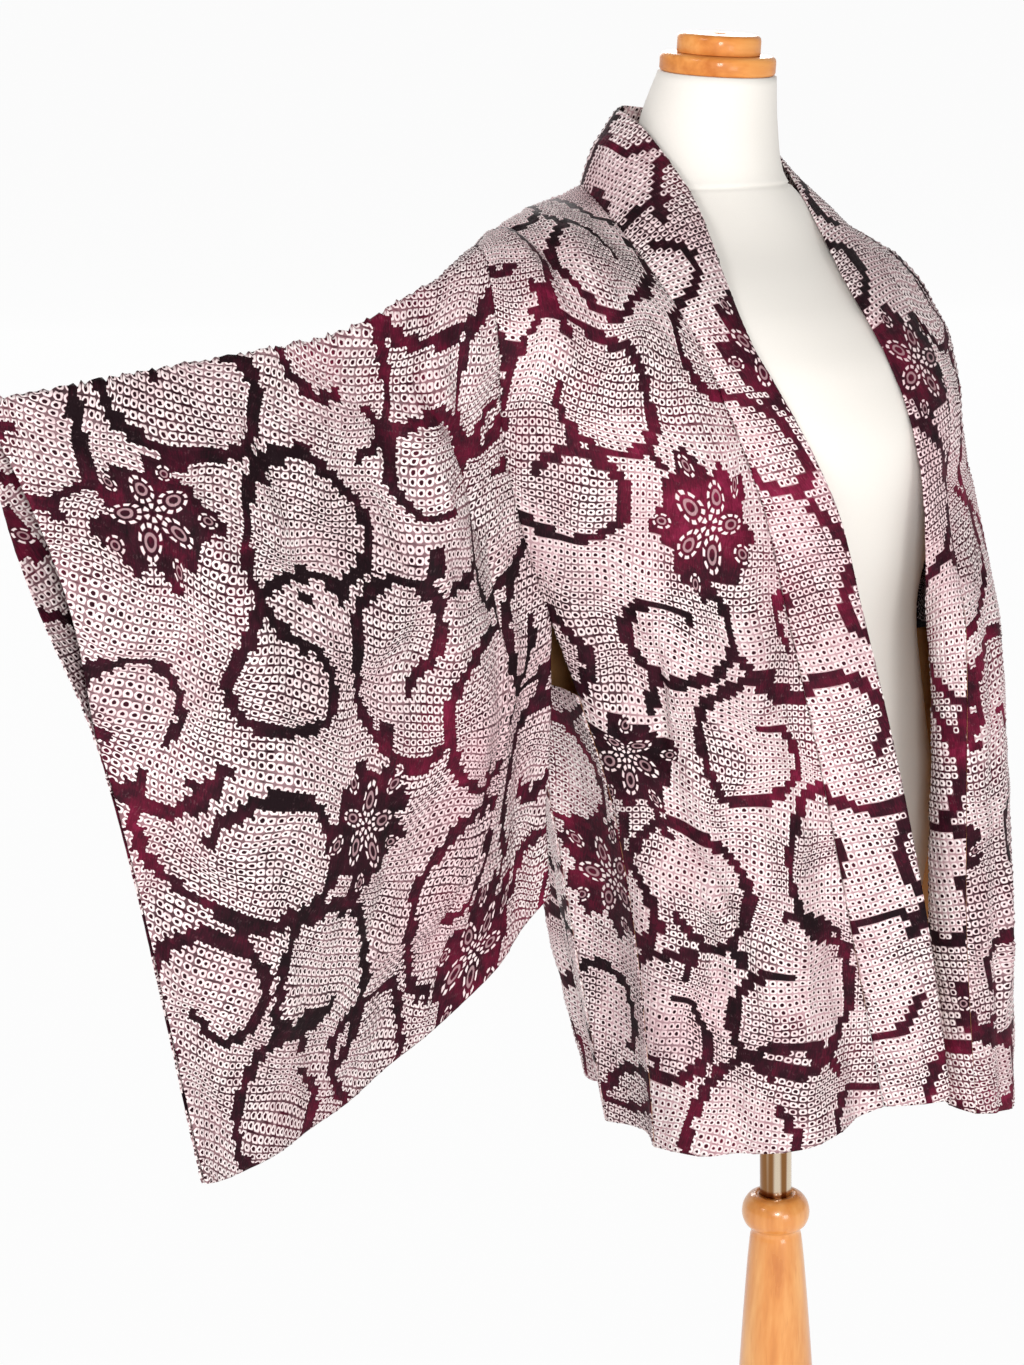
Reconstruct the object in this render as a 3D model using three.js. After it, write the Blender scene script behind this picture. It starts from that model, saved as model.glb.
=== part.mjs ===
// A haori, the open-front kimono jacket, on a limbless dress form with a turned wooden stand.
// Millimetres, +Z up. The origin is on the floor under the middle of the base, the pole stands on the Z axis,
// the form faces -Y, and the garment's right side is -X. Its right sleeve is held out to the side.
import * as THREE from "three";

// ---- driving dimensions ----
const WALL = 2; // thickness of the padded, tied cloth
const SEAM_GAP = 0.3; // between pieces that are sewn together
const REST_GAP = 0.8; // between the cloth's facets and the form that carries it
const SEAM_X = -20; // the centre-back seam hangs a little to the garment's right
const STEPS_PER_ROW = 2; // mesh rows between two rows of a panel's table
const PANEL_COLUMNS = 12;
const SLEEVE_STATIONS = 12;
const ARMHOLE_FRONT_ROW = 3; // rows of the body tables where the sleeve seam starts and ends
const ARMHOLE_BACK_ROW = 14;
const FREE_EDGE_STEPS = 6; // mesh rows of the sleeve's open inner edge, below the armhole
const CUFF_OPENING = 0.43; // share of the sleeve's height that stays open at the cuff
const LAYER_GAP = 1; // half of the space between sleeve layers where they are sewn

const NECK_TILT = 0.1; // radians, the neck leans forward
const NECK_TOP_Z = 1479;
const NECK_SEAM_Z = 1398;
const TORSO_BOTTOM_Z = 780;
const POLE_R = 13.5;
const SOCKET_FLOOR_Z = 430;
const BASE_R = 200;
const BASE_H = 30;

const COLORS = {
  cloth: { color: 0xb9a3ad, roughness: 0.85, metalness: 0 },
  jersey: { color: 0xf2efe8, roughness: 0.9, metalness: 0 },
  wood: { color: 0xd88a45, roughness: 0.35, metalness: 0 },
  steel: { color: 0xb8b2aa, roughness: 0.25, metalness: 1 },
};

// ---- tables ----
// Rings of the form, from the flat underside up to the neck: z, half width, and y of its front and back.
const FORM_RINGS = [
  { z: 780, half: 146, front: -84, back: 106 },
  { z: 800, half: 158, front: -96, back: 120 },
  { z: 880, half: 165, front: -106, back: 128 },
  { z: 960, half: 148, front: -102, back: 108 },
  { z: 1050, half: 130, front: -98, back: 82 },
  { z: 1120, half: 142, front: -113, back: 86 },
  { z: 1200, half: 160, front: -130, back: 104 },
  { z: 1255, half: 166, front: -114, back: 116 },
  { z: 1295, half: 172, front: -82, back: 120 },
  { z: 1322, half: 166, front: -52, back: 118 },
  { z: 1346, half: 130, front: -24, back: 122 },
  { z: 1372, half: 88, front: -4, back: 128 },
  { z: 1398, half: 62, front: 12, back: 134 },
  { z: 1440, half: 56, front: 17, back: 128 },
  { z: 1479, half: 47.5, front: 15, back: 110 },
];

// Body panels, a row for each section from the front hem over the shoulder to the back hem. Each section runs from
// the inner edge (collar seam, then centre back) through a and b to the outer edge (side seam or armhole).
const RIGHT_SECTIONS = [
  { inner: [-35, -146, 670], a: [-76, -130, 654], b: [-140, -98, 643], outer: [-170, -22, 640] },
  { inner: [-66, -139, 815], a: [-104, -124, 806], b: [-156, -84, 800], outer: [-182, -18, 798] },
  { inner: [-88, -124, 955], a: [-128, -110, 950], b: [-178, -68, 948], outer: [-208, -12, 945] },
  { inner: [-108, -106, 1080], a: [-152, -94, 1078], b: [-208, -52, 1080], outer: [-258, -2, 1084] },
  { inner: [-121, -94, 1160], a: [-166, -86, 1160], b: [-226, -50, 1160], outer: [-284, 2, 1160] },
  { inner: [-140, -75, 1234], a: [-184, -68, 1233], b: [-242, -40, 1230], outer: [-296, 6, 1228] },
  { inner: [-152, -54, 1288], a: [-196, -50, 1292], b: [-250, -32, 1290], outer: [-303, 0, 1288] },
  { inner: [-155, -20, 1328], a: [-200, -15, 1338], b: [-252, -8, 1336], outer: [-301, 8, 1330] },
  { inner: [-145, 26, 1361], a: [-190, 33, 1370], b: [-245, 31, 1366], outer: [-294, 24, 1357] },
  { inner: [-109, 98, 1387], a: [-172, 88, 1383], b: [-240, 66, 1371], outer: [-292, 42, 1354] },
  { inner: [-75, 142, 1392], a: [-150, 126, 1370], b: [-225, 90, 1350], outer: [-290, 56, 1326] },
  { inner: [-20, 161, 1380], a: [-116, 150, 1342], b: [-210, 108, 1308], outer: [-287, 66, 1278] },
  { inner: [-20, 161, 1290], a: [-110, 154, 1262], b: [-200, 118, 1232], outer: [-281, 70, 1210] },
  { inner: [-20, 157, 1200], a: [-104, 156, 1180], b: [-186, 124, 1158], outer: [-272, 72, 1144] },
  { inner: [-20, 155, 1110], a: [-98, 156, 1098], b: [-172, 128, 1088], outer: [-254, 66, 1084] },
  { inner: [-20, 156, 975], a: [-92, 158, 960], b: [-156, 126, 950], outer: [-206, 62, 945] },
  { inner: [-20, 164, 820], a: [-84, 160, 810], b: [-140, 122, 802], outer: [-180, 56, 798] },
  { inner: [-20, 172, 650], a: [-66, 150, 646], b: [-106, 98, 642], outer: [-156, 46, 640] },
];
const LEFT_SECTIONS = [
  { inner: [28, -190, 658], a: [74, -190, 648], b: [140, -128, 640], outer: [204, -12, 640] },
  { inner: [16, -187, 812], a: [62, -190, 808], b: [142, -128, 804], outer: [210, -12, 802] },
  { inner: [18, -183, 960], a: [64, -182, 960], b: [144, -114, 958], outer: [214, -4, 954] },
  { inner: [36, -166, 1056], a: [80, -160, 1056], b: [150, -100, 1052], outer: [220, 4, 1046] },
  { inner: [60, -133, 1112], a: [102, -121, 1112], b: [162, -80, 1110], outer: [228, 6, 1104] },
  { inner: [70, -118, 1166], a: [112, -102, 1166], b: [166, -60, 1164], outer: [231, 8, 1160] },
  { inner: [72, -108, 1224], a: [117, -91, 1224], b: [170, -44, 1220], outer: [231, 14, 1214] },
  { inner: [76, -86, 1278], a: [121, -74, 1274], b: [172, -33, 1264], outer: [227, 22, 1248] },
  { inner: [86, -42, 1320], a: [129, -32, 1310], b: [178, -8, 1294], outer: [226, 32, 1266] },
  { inner: [108, 30, 1360], a: [141, 36, 1345], b: [182, 40, 1320], outer: [225, 46, 1276] },
  { inner: [104, 92, 1371], a: [142, 84, 1349], b: [183, 72, 1318], outer: [226, 60, 1271] },
  { inner: [60, 140, 1384], a: [121, 120, 1346], b: [178, 98, 1303], outer: [225, 72, 1246] },
  { inner: [-20, 161, 1380], a: [76, 152, 1336], b: [160, 120, 1278], outer: [222, 78, 1210] },
  { inner: [-20, 161, 1290], a: [70, 156, 1244], b: [150, 130, 1180], outer: [218, 82, 1120] },
  { inner: [-20, 155, 1170], a: [66, 158, 1130], b: [146, 136, 1076], outer: [213, 80, 1034] },
  { inner: [-20, 156, 1020], a: [62, 160, 990], b: [140, 140, 960], outer: [207, 76, 934] },
  { inner: [-20, 164, 840], a: [62, 172, 824], b: [142, 150, 806], outer: [206, 70, 794] },
  { inner: [-20, 172, 656], a: [62, 186, 652], b: [142, 154, 644], outer: [202, 62, 640] },
];

// Folds of the panels: across (0 inner edge, 1 outer edge) where each starts and ends, its half width in the same
// share, its depth outward, and the rows it runs between.
const RIGHT_FOLDS = [
  { from: 0.16, to: 0.1, half: 0.13, depth: -9, rows: [-2, 3.5] },
  { from: 0.4, to: 0.5, half: 0.16, depth: 8, rows: [-2, 4] },
  { from: 0.66, to: 0.8, half: 0.15, depth: -11, rows: [-2, 4.6] },
  { from: 0.86, to: 0.98, half: 0.14, depth: 9, rows: [-1, 4.4] },
  { from: 0.62, to: 0.55, half: 0.16, depth: -6, rows: [5.2, 9.4] },
  { from: 0.3, to: 0.24, half: 0.14, depth: -7, rows: [12.4, 19] },
  { from: 0.52, to: 0.5, half: 0.15, depth: 12, rows: [12.8, 19] },
  { from: 0.76, to: 0.7, half: 0.15, depth: -12, rows: [12, 19] },
];
const LEFT_FOLDS = [
  { from: 0.28, to: 0.24, half: 0.13, depth: -8, rows: [-2, 4.2] },
  { from: 0.74, to: 0.82, half: 0.16, depth: -11, rows: [-2, 5.4] },
  { from: 0.5, to: 0.62, half: 0.14, depth: -5, rows: [5, 9] },
  { from: 0.26, to: 0.22, half: 0.14, depth: -8, rows: [12.4, 19] },
  { from: 0.5, to: 0.46, half: 0.16, depth: 13, rows: [12.8, 19] },
  { from: 0.76, to: 0.7, half: 0.15, depth: -12, rows: [12, 19] },
];

// The free edge of the collar band, a row for each row of the body tables that the band follows, and its roll:
// how far the middle of the band stands out of the straight line across it.
const COLLAR_RIGHT = [
  { free: [9, -179, 672], roll: 3 },
  { free: [-16, -175, 818], roll: 3 },
  { free: [-38, -160, 955], roll: 3 },
  { free: [-57, -138, 1080], roll: 3 },
  { free: [-72, -126, 1156], roll: 3 },
  { free: [-98, -104, 1228], roll: 3 },
  { free: [-110, -74, 1280], roll: 4 },
  { free: [-96, -30, 1334], roll: 5 },
  { free: [-70, 24, 1386], roll: 6 },
  { free: [-63, 84, 1438], roll: 5 },
  { free: [-48, 126, 1452], roll: 5 },
];
const COLLAR_LEFT = [
  { free: [48, -142, 668], roll: 14 },
  { free: [34, -138, 816], roll: 14 },
  { free: [38, -136, 960], roll: 13 },
  { free: [30, -132, 1056], roll: 9 },
  { free: [20, -138, 1112], roll: 5 },
  { free: [13, -140, 1166], roll: 3 },
  { free: [6, -130, 1224], roll: 3 },
  { free: [2, -104, 1276], roll: 3 },
  { free: [6, -66, 1320], roll: 4 },
  { free: [44, 6, 1374], roll: 6 },
  { free: [76, 84, 1426], roll: 6 },
  { free: [46, 132, 1444], roll: 6 },
];
const COLLAR_BACK_FREE = [-14, 149, 1454];

// Sleeves: stations from the body to the cuff, with the fold along the top, the middle and the sewn bottom edge.
const SLEEVE_RIGHT_STATIONS = [
  { top: [-294, 27, 1358], middle: [-284, 16, 1110], bottom: [-262, -2, 866] },
  { top: [-330, 27, 1340], middle: [-326, 12, 1080], bottom: [-312, 4, 826] },
  { top: [-369, 29, 1327], middle: [-372, 8, 1050], bottom: [-372, 8, 788] },
  { top: [-427, 29, 1309], middle: [-424, 6, 1034], bottom: [-444, 8, 757] },
  { top: [-500, 28, 1302], middle: [-490, 0, 1026], bottom: [-516, 2, 741] },
  { top: [-633, 30, 1294], middle: [-592, -4, 1024], bottom: [-588, -18, 738] },
  { top: [-721, 37, 1286], middle: [-661, 2, 1032], bottom: [-622, -30, 745] },
];
const SLEEVE_LEFT_STATIONS = [
  { top: [246, 52, 1266], middle: [250, 56, 1010], bottom: [244, 62, 748] },
  { top: [288, 118, 1226], middle: [290, 120, 966], bottom: [278, 118, 704] },
  { top: [312, 194, 1168], middle: [312, 194, 906], bottom: [300, 188, 644] },
  { top: [322, 272, 1096], middle: [320, 270, 834], bottom: [310, 260, 574] },
  { top: [326, 348, 1016], middle: [324, 344, 756], bottom: [314, 332, 502] },
];
// Half the space between a sleeve's layers, by share of its width: in the upper part and at the bottom.
const SLEEVE_FILL = [
  { at: 0, upper: 30, lower: 12 },
  { at: 0.2, upper: 28, lower: 12 },
  { at: 0.5, upper: 26, lower: 11 },
  { at: 0.8, upper: 24, lower: 9 },
  { at: 1, upper: 22, lower: 1 },
];
// Folds of the sleeves: share of the width at the top and at the bottom, half width, and depth toward the back.
const SLEEVE_RIGHT_FOLDS = [
  { top: 0.2, bottom: 0.05, half: 0.07, depth: 9 },
  { top: 0.36, bottom: 0.22, half: 0.08, depth: -8 },
  { top: 0.5, bottom: 0.44, half: 0.1, depth: 5 },
  { top: 0.78, bottom: 0.72, half: 0.12, depth: -5 },
];
const SLEEVE_LEFT_FOLDS = [
  { top: 0.12, bottom: 0.2, half: 0.1, depth: 8 },
  { top: 0.34, bottom: 0.45, half: 0.1, depth: -9 },
  { top: 0.62, bottom: 0.7, half: 0.12, depth: 7 },
];

// Gussets: how far their middle sinks in, by share of the height from the hem.
const GUSSET_COLUMNS = 5;
const GUSSET_FOLD = { hem: -12, top: -4 };

// Turned profiles, radius and height, from the bottom up.
const COLUMN_PROFILE = [
  { r: 62, z: 30.3 },
  { r: 62, z: 40 },
  { r: 52, z: 52 },
  { r: 46, z: 90 },
  { r: 41, z: 200 },
  { r: 36, z: 310 },
  { r: 30.5, z: 400 },
  { r: 25, z: 475 },
  { r: 22, z: 506 },
  { r: 21, z: 513 },
  { r: 26, z: 518 },
  { r: 28.7, z: 526 },
  { r: 27.6, z: 535 },
  { r: 23, z: 542 },
  { r: 18, z: 544 },
];
const LOWER_CAP_PROFILE = [
  { r: 45, z: 0 },
  { r: 46.5, z: 2 },
  { r: 46.5, z: 12 },
  { r: 44.5, z: 15 },
];
const UPPER_CAP_PROFILE = [
  { r: 33.5, z: 0 },
  { r: 33.5, z: 12 },
  { r: 31, z: 15.5 },
];

// ---- curves ----
const vec = (p) => new THREE.Vector3(p[0], p[1], p[2]);
const smooth = (t) => {
  const s = Math.min(1, Math.max(0, t));
  return s * s * (3 - 2 * s);
};

// Catmull-Rom value through numbers, at a fractional index.
function through(values, at) {
  const last = values.length - 1;
  const i = Math.min(last - 1, Math.max(0, Math.floor(at)));
  const t = at - i;
  const p1 = values[i];
  const p2 = values[i + 1];
  const p0 = i > 0 ? values[i - 1] : 2 * p1 - p2;
  const p3 = i + 2 <= last ? values[i + 2] : 2 * p2 - p1;
  const m1 = (p2 - p0) / 2;
  const m2 = (p3 - p1) / 2;
  const t2 = t * t;
  const t3 = t2 * t;
  return p1 * (2 * t3 - 3 * t2 + 1) + m1 * (t3 - 2 * t2 + t) + p2 * (3 * t2 - 2 * t3) + m2 * (t3 - t2);
}

function pointThrough(points, at) {
  const [x, y, z] = [0, 1, 2].map((axis) => through(points.map((p) => p[axis]), at));
  return new THREE.Vector3(x, y, z);
}

// Linear look-up in a table with an "at" column.
function lookUp(table, column, at) {
  const i = Math.max(1, table.findIndex((row) => row.at >= at));
  const [low, high] = [table[i - 1], table[i]];
  const t = (at - low.at) / (high.at - low.at);
  return low[column] + (high[column] - low[column]) * t;
}

// ---- the form as a surface ----
function formRing(z) {
  const next = FORM_RINGS.findIndex((ring) => ring.z > z);
  const i = next < 0 ? FORM_RINGS.length - 2 : Math.max(0, next - 1);
  const at = i + Math.min(1, (z - FORM_RINGS[i].z) / (FORM_RINGS[i + 1].z - FORM_RINGS[i].z));
  const half = through(FORM_RINGS.map((ring) => ring.half), at);
  const front = through(FORM_RINGS.map((ring) => ring.front), at);
  const back = through(FORM_RINGS.map((ring) => ring.back), at);
  return { half, depth: (back - front) / 2, y: (back + front) / 2 };
}

function formField(p) {
  const ring = formRing(Math.max(TORSO_BOTTOM_Z, p.z));
  return Math.hypot(p.x / ring.half, (p.y - ring.y) / ring.depth) - 1;
}

// How far a point has to move, and in which direction, to lie clear of the form; null where it already does.
function wayOut(p) {
  if (p.z > NECK_TOP_Z || p.z < TORSO_BOTTOM_Z) return null;
  const value = formField(p);
  if (value > 0.1) return null;
  const h = 0.5;
  const slope = new THREE.Vector3(
    formField(p.clone().setX(p.x + h)) - formField(p.clone().setX(p.x - h)),
    formField(p.clone().setY(p.y + h)) - formField(p.clone().setY(p.y - h)),
    formField(p.clone().setZ(p.z + h)) - formField(p.clone().setZ(p.z - h)),
  ).divideScalar(2 * h);
  const missing = REST_GAP - value / slope.length();
  return missing > 0.01 ? slope.normalize().multiplyScalar(missing) : null;
}

// Moves a grid's points out of the form, then its edges and facets, so that the whole wall lies on it.
function settle(grid, firstColumn = 0) {
  grid.forEach((row) =>
    row.forEach((p, j) => {
      for (let pass = 0; pass < 5 && j >= firstColumn; pass += 1) {
        const way = wayOut(p);
        if (way) p.add(way);
      }
    }),
  );
  for (let pass = 0; pass < 6; pass += 1) {
    for (let i = 0; i < grid.length - 1; i += 1) {
      for (let j = 0; j < grid[0].length - 1; j += 1) {
        const corners = [grid[i][j], grid[i + 1][j], grid[i][j + 1], grid[i + 1][j + 1]];
        const fixed = corners.map((_, k) => k < 2 && j < firstColumn);
        [[0, 1], [0, 2], [1, 3], [2, 3], [0, 3], [1, 2]].forEach(([a, b]) => {
          const way = wayOut(corners[a].clone().lerp(corners[b], 0.5));
          if (!way) return;
          if (!fixed[a]) corners[a].add(way);
          if (!fixed[b]) corners[b].add(way);
        });
      }
    }
  }
  return grid;
}

// ---- cloth as a wall ----
// A grid holds the cloth's inner face, grid[i][j]; the outer face lies one wall thickness along the normals.
function gridNormals(grid, closed) {
  const rows = grid.length;
  const columns = grid[0].length;
  const at = (i, j) => grid[i][closed ? (j + columns) % columns : j];
  return grid.map((row, i) =>
    row.map((_, j) => {
      const down = at(Math.max(0, i - 1), j);
      const up = at(Math.min(rows - 1, i + 1), j);
      const left = closed ? at(i, j - 1) : at(i, Math.max(0, j - 1));
      const right = closed ? at(i, j + 1) : at(i, Math.min(columns - 1, j + 1));
      const along = up.clone().sub(down);
      const across = right.clone().sub(left);
      return across.cross(along).normalize();
    }),
  );
}

function wallGeometry(grid, normals, closed, keep) {
  const rows = grid.length;
  const columns = grid[0].length;
  const positions = [];
  const index = [];
  const push = (p) => positions.push(p.x, p.y, p.z);
  grid.forEach((row) => row.forEach(push));
  grid.forEach((row, i) => row.forEach((p, j) => push(keep(p.clone().addScaledVector(normals[i][j], WALL), i))));
  const total = rows * columns;
  const inner = (i, j) => i * columns + (j % columns);
  const outer = (i, j) => total + inner(i, j);
  const quad = (a, b, c, d) => index.push(a, c, b, a, d, c);
  const spans = closed ? columns : columns - 1;
  for (let i = 0; i < rows - 1; i += 1) {
    for (let j = 0; j < spans; j += 1) {
      quad(outer(i, j), outer(i + 1, j), outer(i + 1, j + 1), outer(i, j + 1));
      quad(inner(i, j), inner(i, j + 1), inner(i + 1, j + 1), inner(i + 1, j));
    }
  }
  for (let j = 0; j < spans; j += 1) {
    quad(inner(0, j), outer(0, j), outer(0, j + 1), inner(0, j + 1));
    quad(inner(rows - 1, j), inner(rows - 1, j + 1), outer(rows - 1, j + 1), outer(rows - 1, j));
  }
  if (!closed) {
    const last = columns - 1;
    for (let i = 0; i < rows - 1; i += 1) {
      quad(inner(i, 0), inner(i + 1, 0), outer(i + 1, 0), outer(i, 0));
      quad(inner(i, last), outer(i, last), outer(i + 1, last), inner(i + 1, last));
    }
  }
  const geometry = new THREE.BufferGeometry();
  geometry.setAttribute("position", new THREE.Float32BufferAttribute(positions, 3));
  geometry.setIndex(index);
  return geometry;
}

// The edge of a piece of cloth in one column: its points, normals, and the direction that points off the cloth.
function edgeOf(cloth, column, sign) {
  return cloth.grid.map((row, i) => {
    const previous = cloth.grid[Math.max(0, i - 1)][column];
    const next = cloth.grid[Math.min(cloth.grid.length - 1, i + 1)][column];
    const normal = cloth.normals[i][column];
    const off = next.clone().sub(previous).cross(normal).normalize().multiplyScalar(sign);
    return { point: row[column], normal, off };
  });
}

const besideEdge = (edge, gap) => edge.point.clone().addScaledVector(edge.off, gap);

// ---- body panels ----
function foldDepth(folds, row, across) {
  return folds.reduce((sum, fold) => {
    const [start, end] = fold.rows;
    const t = (row - start) / (end - start);
    if (t <= 0 || t >= 1) return sum;
    const centre = fold.from + (fold.to - fold.from) * t;
    const distance = Math.abs(across - centre) / fold.half;
    if (distance >= 1) return sum;
    const fade = smooth(t * 4) * smooth((1 - t) * 4);
    return sum + fold.depth * fade * (0.5 + 0.5 * Math.cos(Math.PI * distance));
  }, 0);
}

// side is 1 for the left panel and -1 for the right one; both keep to their side of the centre-back seam.
function bodyPanel(sections, folds, side, neckRow) {
  const names = ["inner", "a", "b", "outer"];
  const count = (sections.length - 1) * STEPS_PER_ROW + 1;
  const flat = [];
  for (let i = 0; i < count; i += 1) {
    const at = i / STEPS_PER_ROW;
    const section = names.map((name) => pointThrough(sections.map((row) => row[name]), at).toArray());
    const row = [];
    for (let j = 0; j < PANEL_COLUMNS; j += 1) {
      row.push(pointThrough(section, (3 * j) / (PANEL_COLUMNS - 1)));
    }
    flat.push(side > 0 ? row : row.reverse());
  }
  const normals = gridNormals(flat, false);
  const keep = (p, i) => {
    if (i / STEPS_PER_ROW < neckRow) return p;
    return p.setX(side > 0 ? Math.max(p.x, SEAM_X + SEAM_GAP / 2) : Math.min(p.x, SEAM_X - SEAM_GAP / 2));
  };
  const grid = flat.map((row, i) =>
    row.map((p, j) => {
      const across = (side > 0 ? j : PANEL_COLUMNS - 1 - j) / (PANEL_COLUMNS - 1);
      const edgeFade = smooth(across * 6) * smooth((1 - across) * 6);
      const depth = foldDepth(folds, i / STEPS_PER_ROW, across) * edgeFade;
      return p.clone().addScaledVector(normals[i][j], depth);
    }),
  );
  settle(grid).forEach((row, i) => row.forEach((p) => keep(p, i)));
  return { grid, normals: gridNormals(grid, false), closed: false, side, keep, neckRow };
}

const panelColumn = (panel, edge) => ((edge === "inner") === panel.side > 0 ? 0 : PANEL_COLUMNS - 1);
const panelEdge = (panel, edge) => {
  const column = panelColumn(panel, edge);
  return edgeOf(panel, column, column === 0 ? -1 : 1);
};

// ---- gusset between the front and back edges of one panel ----
function gusset(panel) {
  const edge = panelEdge(panel, "outer");
  const top = ARMHOLE_FRONT_ROW * STEPS_PER_ROW;
  const grid = [];
  const normals = [];
  for (let i = 0; i < top; i += 1) {
    const front = edge[i];
    const back = edge[edge.length - 1 - i];
    const start = besideEdge(front, SEAM_GAP);
    const end = besideEdge(back, SEAM_GAP);
    const out = front.normal.clone().add(back.normal).normalize();
    const sink = GUSSET_FOLD.hem + (GUSSET_FOLD.top - GUSSET_FOLD.hem) * (i / top);
    const row = [];
    const rowNormals = [];
    for (let j = 0; j < GUSSET_COLUMNS; j += 1) {
      const t = j / (GUSSET_COLUMNS - 1);
      const p = start.clone().lerp(end, t).addScaledVector(out, sink * Math.sin(Math.PI * t));
      row.push(p);
      rowNormals.push(front.normal.clone().lerp(back.normal, t).normalize());
    }
    grid.push(panel.side > 0 ? row : row.reverse());
    normals.push(panel.side > 0 ? rowNormals : rowNormals.reverse());
  }
  return { grid, normals, closed: false };
}

// ---- collar ----
// The band runs up the right front, round the neck and down the left front, beside the inner edges of both panels.
function collar(right, left) {
  const side = (panel, table, neckRow) => {
    const edge = panelEdge(panel, "inner");
    const rows = [];
    for (let i = 0; i <= neckRow * STEPS_PER_ROW; i += 1) {
      const at = i / STEPS_PER_ROW;
      const free = pointThrough([...table.map((row) => row.free), COLLAR_BACK_FREE], at);
      const roll = through([...table.map((row) => row.roll), COLLAR_RIGHT[0].roll + 3], at);
      rows.push({ edge: edge[i], free, roll });
    }
    return rows;
  };
  const rightRows = side(right, COLLAR_RIGHT, right.neckRow);
  const leftRows = side(left, COLLAR_LEFT, left.neckRow);
  const middle = rightRows.pop();
  leftRows.pop();
  middle.edge.point.setX(SEAM_X);
  middle.edge.off = new THREE.Vector3(0, 0, 1);
  middle.edge.normal = new THREE.Vector3(0, 1, 0);
  const rows = [...rightRows, middle, ...leftRows.reverse()];
  const starts = rows.map(({ edge }) => besideEdge(edge, SEAM_GAP));
  const grid = rows.map(({ free, roll }, i) => {
    const along = starts[Math.min(rows.length - 1, i + 1)].clone().sub(starts[Math.max(0, i - 1)]);
    const out = free.clone().sub(starts[i]).cross(along).normalize();
    return [0, 1 / 3, 2 / 3, 1].map((t) =>
      starts[i].clone().lerp(free, t).addScaledVector(out, roll * Math.sin(Math.PI * t)),
    );
  });
  settle(grid, 1);
  const normals = gridNormals(grid, false);
  rows.forEach(({ edge }, i) => {
    normals[i][0] = edge.normal.clone();
  });
  return { grid, normals, closed: false };
}

// ---- sleeves ----
function sleeve(panel, stations, folds) {
  const edge = panelEdge(panel, "outer");
  const start = ARMHOLE_FRONT_ROW * STEPS_PER_ROW;
  const end = ARMHOLE_BACK_ROW * STEPS_PER_ROW;
  const sewn = edge.slice(start, end + 1);
  const topIndex = sewn.reduce((best, e, i) => (e.point.z > sewn[best].point.z ? i : best), 0);
  const height = vec(stations[0].top).distanceTo(vec(stations[0].bottom));
  const shareOf = sewn.map(() => 0);
  for (let i = topIndex - 1; i >= 0; i -= 1) {
    shareOf[i] = shareOf[i + 1] + sewn[i].point.distanceTo(sewn[i + 1].point) / height;
  }
  for (let i = topIndex + 1; i < sewn.length; i += 1) {
    shareOf[i] = shareOf[i - 1] + sewn[i].point.distanceTo(sewn[i - 1].point) / height;
  }
  const loop = [];
  for (let k = FREE_EDGE_STEPS; k >= 1; k -= 1) {
    const share = shareOf[0] + ((1 - shareOf[0]) * k) / FREE_EDGE_STEPS;
    loop.push({ share, layer: -1, anchor: sewn[0] });
  }
  sewn.forEach((anchor, i) => loop.push({ share: shareOf[i], layer: Math.sign(i - topIndex), anchor, sewn: true }));
  const lastShare = shareOf[shareOf.length - 1];
  for (let k = 1; k <= FREE_EDGE_STEPS; k += 1) {
    const share = lastShare + ((1 - lastShare) * k) / FREE_EDGE_STEPS;
    loop.push({ share, layer: 1, anchor: sewn[sewn.length - 1] });
  }

  const last = stations.length - 1;
  const span = vec(stations[last].top).sub(vec(stations[0].top));
  const back = new THREE.Vector3(-span.y, span.x, 0).normalize().multiplyScalar(panel.side);
  const points = (name) => stations.map((station) => station[name]);
  const plain = (across, { share, layer }) => {
    const line = ["top", "middle", "bottom"].map((name) => pointThrough(points(name), across * last).toArray());
    const p = pointThrough(line, share * 2);
    const upper = lookUp(SLEEVE_FILL, "upper", across);
    const lower = lookUp(SLEEVE_FILL, "lower", across);
    const atCuff = smooth((across - 0.8) / 0.2);
    const puff = upper * Math.sin(Math.PI * Math.min(1, share / (CUFF_OPENING * 2 - (CUFF_OPENING) * atCuff)));
    const body = Math.max(0, puff) + lower * smooth(share / 0.3) * (1 - smooth((share - 0.75) / 0.25) * 0.9);
    const sewnCuff = lower * atCuff;
    const half = Math.max(LAYER_GAP, body - sewnCuff);
    const wave = folds.reduce((sum, fold) => {
      const centre = fold.top + (fold.bottom - fold.top) * share;
      const distance = Math.abs(across - centre) / fold.half;
      return distance < 1 ? sum + fold.depth * (0.5 + 0.5 * Math.cos(Math.PI * distance)) : sum;
    }, 0);
    const rise = smooth(share / 0.25);
    return p.addScaledVector(back, layer * half + wave * rise);
  };
  const grid = [];
  for (let i = 0; i < SLEEVE_STATIONS; i += 1) {
    const across = i / (SLEEVE_STATIONS - 1);
    const blend = 1 - smooth(across / 0.4);
    const row = loop.map((entry) => {
      const p = plain(across, entry);
      if (entry.sewn) {
        const shift = besideEdge(entry.anchor, SEAM_GAP).sub(plain(0, entry));
        return p.addScaledVector(shift, blend);
      }
      const seamShare = entry.layer < 0 ? shareOf[0] : lastShare;
      const pull = besideEdge(entry.anchor, SEAM_GAP).sub(plain(0, { share: seamShare, layer: entry.layer }));
      const fade = 1 - smooth((entry.share - seamShare) / (1 - seamShare));
      return p.addScaledVector(pull, blend * fade);
    });
    grid.push(row);
  }
  const normals = gridNormals(grid, true);
  const flip = panel.side > 0 ? -1 : 1;
  normals.forEach((row) => row.forEach((normal) => normal.multiplyScalar(flip)));
  loop.forEach((entry, j) => {
    if (entry.sewn) normals[0][j] = entry.anchor.normal.clone();
  });
  return { grid, normals, closed: true, flip: panel.side > 0 };
}

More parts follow.
